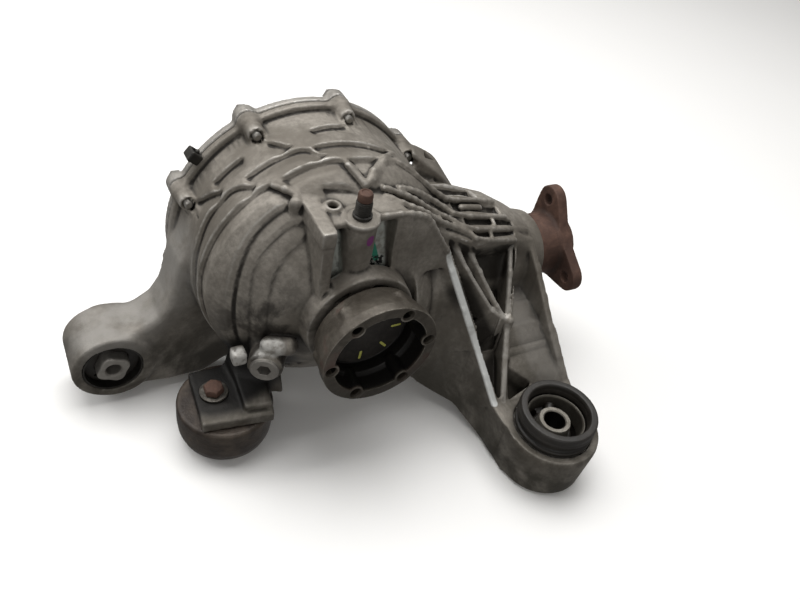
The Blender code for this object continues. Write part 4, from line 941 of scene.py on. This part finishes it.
class Nodes:
    """A material and short ways to add shader nodes to it."""

    def __init__(self, name):
        self.material = bpy.data.materials.new(name)
        self.material.use_nodes = True
        self.tree = self.material.node_tree
        self.shader = self.tree.nodes["Principled BSDF"]
        self.coords = self.tree.nodes.new("ShaderNodeTexCoord").outputs["Object"]

    def add(self, kind, inputs, output, **settings):
        """Adds a shader node. Each input is a socket to link from or a plain value."""
        node = self.tree.nodes.new("ShaderNode" + kind)
        for key, value in settings.items():
            setattr(node, key, value)
        for key, value in inputs.items():
            if isinstance(value, bpy.types.NodeSocket):
                self.tree.links.new(value, node.inputs[key])
            else:
                node.inputs[key].default_value = value
        return node.outputs[output]

    def show(self, socket, value):
        self.tree.links.new(value, self.shader.inputs[socket])

    def noise(self, scale, detail=3.0, rough=0.55, distort=0.0):
        inputs = {"Vector": self.coords, "Scale": scale, "Detail": detail}
        return self.add("TexNoise", {**inputs, "Roughness": rough, "Distortion": distort}, "Fac")

    def steps(self, source, low, high, start=0.0, end=1.0):
        inputs = {"Value": source, "From Min": low, "From Max": high, "To Min": start, "To Max": end}
        return self.add("MapRange", inputs, "Result", interpolation_type="SMOOTHSTEP")

    def math(self, operation, a, b):
        return self.add("Math", {0: a, 1: b}, 0, operation=operation)

    def mix(self, factor, a, b):
        return self.add("Mix", {0: factor, 6: a, 7: b}, 2, data_type="RGBA")

    def attribute(self, name):
        return self.add("Attribute", {}, "Fac", attribute_name=name)

    def place(self, axis):
        return self.add("SeparateXYZ", {0: self.coords}, axis)

    def near_line(self, start, end, radius, edge):
        """1 within radius of a line given in axle-frame millimetres, fading out over edge."""
        a, b = AXLE + Vector(start) * MM, AXLE + Vector(end) * MM
        along = b - a
        from_a = self.add("VectorMath", {0: self.coords, 1: a}, "Vector", operation="SUBTRACT")
        per_length = along / along.length_squared
        dot = self.add("VectorMath", {0: from_a, 1: per_length}, "Value", operation="DOT_PRODUCT")
        share = self.math("MINIMUM", self.math("MAXIMUM", dot, 0.0), 1.0)
        foot = self.add("VectorMath", {0: along, "Scale": share}, "Vector", operation="SCALE")
        gap = self.add("VectorMath", {0: from_a, 1: foot}, "Value", operation="DISTANCE")
        return self.steps(gap, (radius + edge) * MM, radius * MM)

    def colour_over(self, mask, colour):
        """Lays a colour over what the material already has, where mask is 1."""
        current = self.shader.inputs["Base Color"].links[0].from_socket
        self.show("Base Color", self.mix(mask, current, linear(colour)))

    def mark(self, lines, edge, mark_strength, colour):
        """Colours the surface near lines of start, end and radius, as strongly as the given strength says."""
        for start, end, radius in lines:
            self.colour_over(self.math("MULTIPLY", self.near_line(start, end, radius, edge), mark_strength), colour)


def worn_metal(name, light, dark, grime_and_shade, worn_and_lit, metallic, rough, grain=900.0, bump=0.0004, patch=14.0):
    """Cast or forged metal: patchy colour, dirt and painted shade in its hollows and creases, pale edges that
    are abraded metal and painted highlight, and a sand-cast grain.
    """
    n = Nodes(name)
    patches = n.steps(n.noise(patch, 5.0, 0.6, 0.4), 0.36, 0.66)
    fine = n.noise(grain, 2.0, 0.6)
    middling = n.noise(grain / 4, 4.0, 0.65)
    colour = n.mix(patches, linear(dark), linear(light))
    speckle = n.steps(middling, 0.34, 0.68)
    tint = tuple(0.78 * c for c in linear(dark)[:3]) + (1.0,)
    colour = n.mix(n.math("MULTIPLY", n.math("SUBTRACT", 1.0, speckle), 0.45), colour, tint)
    # Hollows and creases painted darker: dirt, and painted shade where light does not reach.
    hollow = n.steps(n.attribute("hollow"), 0.02, -0.34)
    crease = n.steps(n.attribute("edge"), -0.01, -0.17)
    filth_and_shade = n.math("MAXIMUM", hollow, crease)
    filth_and_shade = n.math("MULTIPLY", filth_and_shade, n.steps(n.noise(55.0, 4.0, 0.6), 0.18, 0.52, 0.45, 1.0))
    colour = n.mix(filth_and_shade, colour, linear(grime_and_shade))
    # Pale edges: abraded metal, and painted highlight where edges catch the light.
    rubbed_and_lit = n.steps(n.attribute("edge"), 0.12, 0.36)
    rubbed_and_lit = n.math("MULTIPLY", rubbed_and_lit, n.steps(n.noise(90.0, 4.0, 0.6), 0.34, 0.6, 0.25, 1.0))
    colour = n.mix(rubbed_and_lit, colour, linear(worn_and_lit))
    n.show("Base Color", colour)
    n.shader.inputs["Metallic"].default_value = metallic
    roughness = n.math("ADD", n.math("MULTIPLY", middling, 0.22), rough - 0.11)
    roughness = n.math("SUBTRACT", roughness, n.math("MULTIPLY", rubbed_and_lit, 0.16))
    n.show("Roughness", roughness)
    height = n.math("ADD", n.math("MULTIPLY", fine, 0.35), middling)
    n.show("Normal", n.add("Bump", {"Strength": 0.8, "Distance": bump, "Height": height}, "Normal"))
    return n


WEB_LINE = [((198, -60, -40), (212, -122, -86), 15)]
# Pockets of the front arm, painted darker as shade.
ARM_POCKET_SHADE = [
    ((112, -66, 2), (146, -86, -62), 9),
    ((142, -47, 8), (168, -45, 0), 10),
    ((157, -99, -94), (146, -124, -122), 10),
]
# A near-white painted highlight along the rear edge of the front arm.
REAR_EDGE_HIGHLIGHT = [
    ((96, -53, 42), (101, -61, 25), 2.6),
    ((101, -61, 25), (126, -101, -50), 3.0),
    ((126, -101, -50), (136, -141, -97), 2.8),
]
REAR_ARM_TOP = [((-202, 57, -78), (-135, 50, 0), 22)]
# Painted highlights on the lug and the column beside the plug.
PLUG_COLUMN_HIGHLIGHTS = [((-92, -59, -26), (-74, -63, -25), 6.0), ((-108, -57, -33), (-102, -59, -31), 6.5)]
PALE_PANELS = [((18, -42, 80), (19, -56, 34), 7.5), ((-23, -43, 74), (-23, -57, 34), 7.5)]
GREEN_STROKE = [((14, -40, 86), (15, -46, 66), 2.6), ((15, -46, 66), (20, -52, 50), 2.6)]
SMUDGE = [((13, -53, 47), (23, -53, 48), 4.6)]
PURPLE_STROKE = [((0, -69, 86), (0, -69, 89), 3.4)]
# Painted shade, near black, over the plate that holds the damper and the gusset above it.
DAMPER_PLATE_SHADE = [((-122, -30, -96), (-108, -30, -94), 32), ((-98, -26, -84), (-74, -30, -66), 26)]
OIL_SPOT = [((-75, -45, -20), (-75, -45, -20.1), 30)]


def finish_housing(n):
    """Marks on the housing: darker low down, painted shade in the arm's pockets and over the damper's plate,
    painted highlights along the arm's rear edge and by the plug, and the paint marks by the breather.
    """
    # Darker towards the bottom, in olive-brown patches.
    low = n.steps(n.place("Z"), AXLE.z - 0.02, AXLE.z - 0.13)
    low_darkening = n.math("MULTIPLY", low, n.steps(n.noise(16.0, 5.0, 0.6, 0.6), 0.36, 0.6, 0.1, 0.85))
    n.colour_over(low_darkening, (46, 42, 32))
    n.mark(OIL_SPOT, 40, n.steps(n.noise(30.0, 4.0, 0.6, 0.5), 0.40, 0.56, 0.0, 0.75), (36, 32, 28))
    n.mark(WEB_LINE, 12, n.steps(n.noise(40.0), 0.3, 0.6, 0.1, 0.35), (152, 148, 142))
    # How strongly the pockets and the damper's plate are painted dark as shade, a little patchy.
    shade_strength = n.steps(n.noise(60.0, 4.0), 0.25, 0.6, 1.0, 0.93)
    # Painted shade in the arm's pockets.
    n.mark(ARM_POCKET_SHADE, 9, shade_strength, (40, 36, 31))
    # Fin tops painted pale, as abraded metal and painted highlight.
    rubbed_and_lit = []
    for line in (MIDDLE_FINS[0] + OUTER_FIN[1:], MIDDLE_FINS[1], MIDDLE_FINS[2]):
        tops = [(x, y, arm_z(x, y) + 0.5) for x, y in line]
        rubbed_and_lit += [(start, end, 2.2) for start, end in zip(tops, tops[1:])]
    n.mark(rubbed_and_lit, 1.6, n.steps(n.noise(80.0, 4.0), 0.3, 0.6, 0.15, 0.6), (178, 174, 167))
    # Painted highlight along the arm's rear edge.
    n.mark(REAR_EDGE_HIGHLIGHT, 1.5, n.steps(n.noise(60.0), 0.2, 0.5, 0.5, 1.0), (210, 211, 208))
    n.mark(REAR_ARM_TOP, 30, n.steps(n.noise(34.0, 5.0, 0.6), 0.3, 0.6, 0.2, 0.7), (150, 147, 142))
    # Painted highlights beside the plug.
    n.mark(PLUG_COLUMN_HIGHLIGHTS, 5.0, n.steps(n.noise(150.0, 4.0, 0.6), 0.32, 0.56, 0.2, 0.9), (188, 186, 181))
    n.mark(PALE_PANELS, 4.0, n.steps(n.noise(170.0, 4.0), 0.3, 0.6, 0.3, 0.9), (176, 179, 172))
    n.mark(GREEN_STROKE, 1.0, n.steps(n.noise(220.0), 0.30, 0.42), (52, 132, 108))
    n.mark(SMUDGE, 2.0, n.steps(n.noise(260.0), 0.46, 0.52), (26, 24, 22))
    # Painted shade over the damper's plate.
    n.mark(DAMPER_PLATE_SHADE, 16, shade_strength, (16, 14, 12))
    n.mark(PURPLE_STROKE, 0.8, n.steps(n.noise(240.0), 0.28, 0.40), (128, 62, 120))


def finish_flange(n):
    """The inside of the flange's cup is coloured black, rust stains run down its side, and its lower part is
    painted darker as shade.
    """
    n.colour_over(n.steps(n.noise(26.0, 4.0, 0.6, 0.5), 0.54, 0.68, 0.0, 0.5), (84, 54, 48))
    # Painted shade: the flange turns darker below the axle line.
    n.colour_over(n.steps(n.place("Z"), AXLE.z + 0.01, AXLE.z - 0.04, 0.0, 0.7), (48, 44, 36))
    depth = n.math("ABSOLUTE", n.math("SUBTRACT", n.place("Y"), AXLE.y + MIDDLE_Y * MM), 0.0)
    n.mark([((0, -170, 0), (0, 230, 0), 45.2)], 0.6, n.steps(depth, 0.1495, 0.1480), (26, 24, 22))


def finish_sleeve(n):
    """The bores of the front bushes' sleeves are black."""
    for y in (FRONT_BUSH[1], -FRONT_BUSH[1]):
        bore = n.near_line((FRONT_BUSH[0], y, -160), (FRONT_BUSH[0], y, -93), 11.2, 0.5)
        n.colour_over(bore, (20, 18, 15))


# The light and dark colours, the colour of dirt and painted shade in hollows, the colour of abraded edges and
# painted highlight, then what is metallic and rough, the grain, bump and patches.
METALS = {
    "cast_aluminium": ((150, 144, 135), (108, 102, 93), (34, 30, 25), (172, 168, 161), 0.45, 0.60),
    "aged_aluminium": ((166, 162, 155), (132, 128, 122), (62, 56, 50), (206, 204, 200), 0.55, 0.55),
    "brown_iron": ((100, 74, 62), (70, 49, 40), (36, 27, 22), (130, 102, 88), 0.25, 0.72, 700, 0.0005, 40),
    "dark_iron": ((100, 94, 85), (64, 58, 50), (26, 23, 19), (158, 152, 142), 0.45, 0.48, 800, 0.0004, 26),
    "bright_steel": (
        (190, 188, 182), (150, 146, 140), (60, 54, 48), (224, 222, 218), 0.85, 0.38, 900, 0.0002, 40,
    ),
    "gear_steel": (
        (150, 150, 152), (122, 122, 124), (50, 46, 42), (200, 200, 202), 0.90, 0.34, 900, 0.0001, 30,
    ),
    "dark_steel": ((70, 68, 64), (44, 42, 39), (22, 20, 18), (130, 126, 120), 0.60, 0.50, 700, 0.0003, 40),
    "rubber": ((46, 42, 37), (31, 28, 24), (19, 17, 15), (66, 61, 54), 0.0, 0.5, 800, 0.0003, 30),
    "dust_cap": ((58, 54, 50), (40, 37, 34), (24, 22, 20), (90, 86, 80), 0.20, 0.55, 800, 0.0003, 40),
    "gasket": ((64, 62, 60), (46, 44, 42), (26, 24, 22), (90, 88, 84), 0.0, 0.80, 700, 0.0003, 40),
    "damper": ((84, 74, 64), (46, 38, 32), (22, 18, 15), (124, 110, 100), 0.30, 0.50, 500, 0.0007, 30),
    "insert_steel": ((92, 88, 80), (64, 60, 53), (30, 27, 23), (132, 128, 120), 0.5, 0.5),
    "sleeve_steel": ((150, 146, 137), (112, 107, 98), (44, 40, 35), (196, 193, 186), 0.6, 0.42),
    "washer_steel": ((112, 108, 101), (46, 42, 36), (30, 27, 23), (200, 198, 193), 0.6, 0.4, 600, 0.0003, 60),
    "paint": ((206, 204, 110), (176, 178, 84), (120, 118, 50), (226, 224, 140), 0.0, 0.5),
}
METAL_NODES = {name: worn_metal(name, *values) for name, values in METALS.items()}
finish_housing(METAL_NODES["cast_aluminium"])
finish_flange(METAL_NODES["dark_iron"])
finish_sleeve(METAL_NODES["sleeve_steel"])
MATERIALS = {name: n.material for name, n in METAL_NODES.items()}

SLOTS = {name: obj.data.materials[0].name.split(".")[0] for name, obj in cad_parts.items()}
for name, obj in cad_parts.items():
    for slot in obj.material_slots:
        slot.material = MATERIALS[SLOTS[name]]
    obj.data.shade_smooth()
    obj.data.set_sharp_from_angle(angle=math.radians(32))


# ---- Pieces ----
def new_object(name, points, faces, material):
    mesh = bpy.data.meshes.new(name)
    mesh.from_pydata(points, [], faces)
    mesh.validate()
    mesh.shade_smooth()
    mesh.materials.append(material)
    obj = bpy.data.objects.new(name, mesh)
    bpy.context.scene.collection.objects.link(obj)
    return obj


def thin_out(obj, most):
    """Reduces a mesh of quads to at most so many triangles."""
    count = 2 * len(obj.data.polygons)
    if count <= most:
        return
    modifier = obj.modifiers.new("fewer", "DECIMATE")
    modifier.ratio = most / count
    modifier.use_collapse_triangulate = True
    evaluated = obj.evaluated_get(bpy.context.evaluated_depsgraph_get())
    mesh = bpy.data.meshes.new_from_object(evaluated)
    obj.modifiers.clear()
    obj.data = mesh
    mesh.name = obj.name


def place(obj, nodes, body, slot=None):
    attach(obj, body)
    if nodes:
        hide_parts(*nodes)
    slot or SLOTS[nodes[0]]


def cast_piece(name, field, nodes, look, most, body="casing", mirror=False, slot=None, turn=None):
    """A field made into a mesh that stands for CAD nodes, with its edges and hollows as attributes."""
    obj = new_object(name, *field.polygons(), MATERIALS[look])
    thin_out(obj, most)
    mesh = obj.data
    co = np.zeros(len(mesh.vertices) * 3, np.float32)
    mesh.vertices.foreach_get("co", co)
    co = co.reshape(-1, 3)
    for label, radius in (("edge", 2.2 * field.step), ("hollow", 9.0 * max(1.0, field.step) ** 0.5)):
        attribute = mesh.attributes.new(label, "FLOAT", "POINT")
        attribute.data.foreach_set("value", field.bend(co, radius).astype(np.float32))
    if turn is not None:
        mesh.vertices.foreach_set("co", turn(co).astype(np.float32).ravel())
    mesh.transform(Matrix.Translation(AXLE) @ Matrix.Scale(MM, 4))
    if mirror:
        mesh.transform(Matrix.Diagonal((1, -1, 1, 1)))
        mesh.flip_normals()
    mesh.shade_smooth()
    mesh.update()
    place(obj, nodes, body, slot)


cast_piece("housing_casting", housing_field(), ["housing"], "cast_aluminium", 190000)
cast_piece("side_cover_casting", cover_field(), ["side_cover"], "aged_aluminium", 120000)
right_flange, left_flange = output_field(False), output_field(True)
cast_piece("right_flange_forging", right_flange, ["right_output_flange"], "dark_iron", 70000, "right_output")
cast_piece("left_flange_forging", left_flange, ["left_output_flange"], "dark_iron", 60000, "left_output")
cast_piece("input_flange_forging", input_field(), ["input_flange"], "brown_iron", 60000, "pinion")
front_rubber = front_rubber_field()
insert = insert_field()
for side, mirror in (("right", False), ("left", True)):
    nodes = [f"front_{side}_bush_rubber"]
    cast_piece(f"{side}_bush_moulding", front_rubber, nodes, "rubber", 60000, mirror=mirror)
for side, mirror in (("right", False), ("left", True)):
    cast_piece(f"{side}_bush_ring", insert, [], "insert_steel", 30000, mirror=mirror, slot="bright_steel")
cast_piece("rear_bush_moulding", rear_rubber_field(), ["rear_bush_rubber"], "rubber", 50000)
cast_piece("rear_bush_casting", rear_core_field(), ["rear_bush_core"], "aged_aluminium", 30000)
cast_piece("damper_casting", damper_field(), ["damper_weight"], "damper", 50000)

SPUN_SIDES = 48


def spun(name, loops, axis, centre, node, look, closed=False, turn=None):
    """A piece from loops of (radius, station) on an axis through centre, or of (radius, station, 6) where it
    is a hexagon. A closed piece has a bore."""
    points, faces = [], []
    for radius, station, *corners in loops:
        for i in range(SPUN_SIDES):
            angle = math.tau * i / SPUN_SIDES
            reach = radius
            if corners:
                half = math.pi / corners[0]
                reach = radius * math.cos(half) / math.cos((angle + half) % (2 * half) - half)
            a, b = reach * math.cos(angle), reach * math.sin(angle)
            spot = Vector({"X": (station, a, b), "Y": (b, station, a), "Z": (a, b, station)}[axis])
            if turn is not None:
                spot = turn @ spot
            points.append(tuple(AXLE + MM * (spot + Vector(centre))))
    pairs = [(n, n + 1) for n in range(len(loops) - 1)] + ([(len(loops) - 1, 0)] if closed else [])
    for a, b in pairs:
        for i in range(SPUN_SIDES):
            j = (i + 1) % SPUN_SIDES
            faces.append((a * SPUN_SIDES + i, a * SPUN_SIDES + j, b * SPUN_SIDES + j, b * SPUN_SIDES + i))
    if not closed:
        last = (len(loops) - 1) * SPUN_SIDES
        faces += [tuple(range(SPUN_SIDES - 1, -1, -1)), tuple(range(last, last + SPUN_SIDES))]
    obj = new_object(name, points, faces, MATERIALS[look])
    bm = bmesh.new()
    bm.from_mesh(obj.data)
    bmesh.ops.recalc_face_normals(bm, faces=bm.faces)
    bm.to_mesh(obj.data)
    bm.free()
    obj.data.set_sharp_from_angle(angle=math.radians(34))
    place(obj, [node], "casing")


bolt_loops = [(2.6, 57.6), (3.9, 58.6)]
for i in range(8):
    bolt_loops += [(3.9, 59.2 + i * 1.2), (3.4, 59.8 + i * 1.2)]
bolt_loops += [
    (3.9, 70), (3.9, 99.9), (8.4, 99.9), (8.8, 100.3), (8.6, 101.2), (7.3, 102.0, 6), (7.3, 106.4, 6),
    (6.6, 106.9, 6), (5.0, 106.9), (4.6, 106.3),
]
for number, angle in enumerate(LUG_ANGLES, 1):
    x, z = around(LUG_CIRCLE_R, angle)
    spun(f"cover_screw_{number}", bolt_loops, "Y", (x, 0, z), f"cover_bolt_{number}", "bright_steel")

stem_loops = [(4.4, 90.4), (4.4, 104.3), (8.2, 104.3), (8.5, 104.7), (8.5, 107.0), (7.2, 107.6, 6)]
for i in range(6):
    rise = 1.9 * i
    stem_loops += [(7.1, 108.0 + rise), (7.1, 109.0 + rise), (6.7, 109.3 + rise), (6.7, 109.6 + rise)]
stem_loops += [(6.9, 119.8), (6.4, 120.3)]
spun("breather_stem", stem_loops, "Z", BREATHER, "breather_body", "dark_steel")
cap_loops = [(5.4, 120.6), (6.3, 120.9), (6.5, 122.0), (6.4, 126.6), (5.6, 128.2), (3.8, 128.9), (3.2, 128.2)]
spun("breather_button", cap_loops, "Z", BREATHER, "breather_cap", "brown_iron")

plug_turn = Vector((0, 0, 1)).rotation_difference(PLUG_AXIS).to_matrix()
plug_loops = [
    (6.5, -7, 6), (6.5, 3.6, 6), (7.2, 4.2, 6), (12.2, 4.2), (13.4, 3.2), (13.4, 0.4), (11.4, 0.3),
    (11.4, -14),
]
spun("fill_screw", plug_loops, "Z", PLUG_FACE, "fill_plug", "aged_aluminium", turn=plug_turn)
drain_loops = [
    (5.5, 7, 6), (5.5, -3.6, 6), (6.2, -4.2, 6), (11.4, -4.2), (12.4, -3.2), (12.4, -0.4), (9.4, -0.3),
    (9.4, 12),
]
spun("drain_screw", drain_loops, "Z", (20, 20, -134), "drain_plug", "dark_steel")
damper_loops = [
    (5.8, -148), (5.8, -90.9), (9.6, -90.9, 6), (9.8, -90.2, 6), (9.8, -86.0, 6), (9.2, -84.9, 6),
    (7.8, -84.2), (5.0, -84.0),
]
spun("damper_screw", damper_loops, "Z", DAMPER_BOLT, "damper_bolt", "brown_iron")
washer_loops = [(6.5, -93.6), (13.3, -93.6), (13.6, -93.2), (13.4, -91.4), (12.9, -91.2), (6.5, -91.2)]
spun("damper_disc", washer_loops, "Z", DAMPER_BOLT, "damper_washer", "washer_steel", closed=True)
sleeve_loops = [(11, -152), (17, -153), (17, -92), (15.9, -90), (12.2, -90), (11, -91.4)]
for side, y in (("right", FRONT_BUSH[1]), ("left", -FRONT_BUSH[1])):
    centre, node = (FRONT_BUSH[0], y, 0), f"front_{side}_bush_sleeve"
    spun(f"{side}_bush_tube", sleeve_loops, "Z", centre, node, "sleeve_steel", closed=True)
cast_piece("rim_clip", clip_field(), ["hose_clip"], "dark_steel", 20000, turn=clip_turned)

DASH_R = 29.5  # where the three strokes of paint lie on the right dust cap
DASH_SIDES = 16


def paint_dash(number, degrees):
    turn = math.radians(degrees)
    out = Vector((math.cos(turn), 0.0, math.sin(turn)))
    side = Vector((-out.z, 0.0, out.x))
    centre = out * DASH_R
    outline = []
    for i in range(DASH_SIDES):
        across, along = around(1.3, math.tau * i / DASH_SIDES)
        stretch = 3.84 if across > 0 else -3.84
        outline.append(out * (stretch + across) + side * along)
    points = []
    for scale, y in ((1.0, -90.5), (1.0, -90.65), (0.9, -90.75)):
        points += [tuple(AXLE + MM * (centre + p * scale + Vector((0, y, 0)))) for p in outline]
    faces = [tuple(range(DASH_SIDES - 1, -1, -1)), tuple(range(2 * DASH_SIDES, 3 * DASH_SIDES))]
    for ring in (0, DASH_SIDES):
        for i in range(DASH_SIDES):
            a, b = ring + i, ring + (i + 1) % DASH_SIDES
            faces.append((a, b, b + DASH_SIDES, a + DASH_SIDES))
    dash = new_object(f"paint_dash_{number}", points, faces, MATERIALS["paint"])
    place(dash, [], "right_output", "dust_cap")


for number, degrees in enumerate((0.0, -48.0, -95.0), 1):
    paint_dash(number, degrees)


# ---- Floor, light and camera ----
FLOOR_HALF = 6
paper = Nodes("floor_paper")
paper.show("Base Color", paper.mix(paper.noise(3.0), linear((246, 245, 243)), linear((243, 242, 240))))
paper.shader.inputs["Roughness"].default_value = 0.9
corners = [(x * FLOOR_HALF, y * FLOOR_HALF, 0) for x, y in ((-1, -1), (1, -1), (1, 1), (-1, 1))]
floor = new_object("floor", corners, [(0, 1, 2, 3)], paper.material)
floor.visible_diffuse = False
floor.visible_glossy = False


def area_light(name, location, target, size, power):
    light = bpy.data.lights.new(name, "AREA")
    light.shape = "RECTANGLE"
    light.size, light.size_y = size
    light.energy = power
    obj = bpy.data.objects.new(name, light)
    obj.location = location
    obj.rotation_euler = (Vector(target) - Vector(location)).to_track_quat("-Z", "Y").to_euler()
    bpy.context.scene.collection.objects.link(obj)


area_light("ceiling", (0.1, 0.5, 2.2), (0, 0, 0.1), (2.2, 1.6), 56.0)
area_light("rear_left", (-1.4, 1.0, 1.3), (0, 0, 0.15), (1.2, 0.9), 14.0)
area_light("front_low", (-0.6, -1.8, 0.9), (0, 0, 0.12), (1.4, 1.0), 6.0)

scene = bpy.context.scene
world = bpy.data.worlds.new("studio")
world.use_nodes = True
background = world.node_tree.nodes["Background"]
background.inputs["Color"].default_value = (1.0, 0.99, 0.97, 1.0)
background.inputs["Strength"].default_value = 0.26
scene.world = world
scene.view_settings.view_transform = "Standard"
scene.view_settings.exposure = 0.0

camera = bpy.data.cameras.new("camera")
camera.sensor_width = 36.0
camera.lens = 33.15
camera.clip_start = 0.01
camera_obj = bpy.data.objects.new("camera", camera)
camera_obj.location = AXLE + Vector((-255.4, -487.2, 463.9)) * MM
camera_obj.rotation_euler = (math.radians(47.71), math.radians(-9.60), math.radians(-26.89))
scene.collection.objects.link(camera_obj)
scene.camera = camera_obj
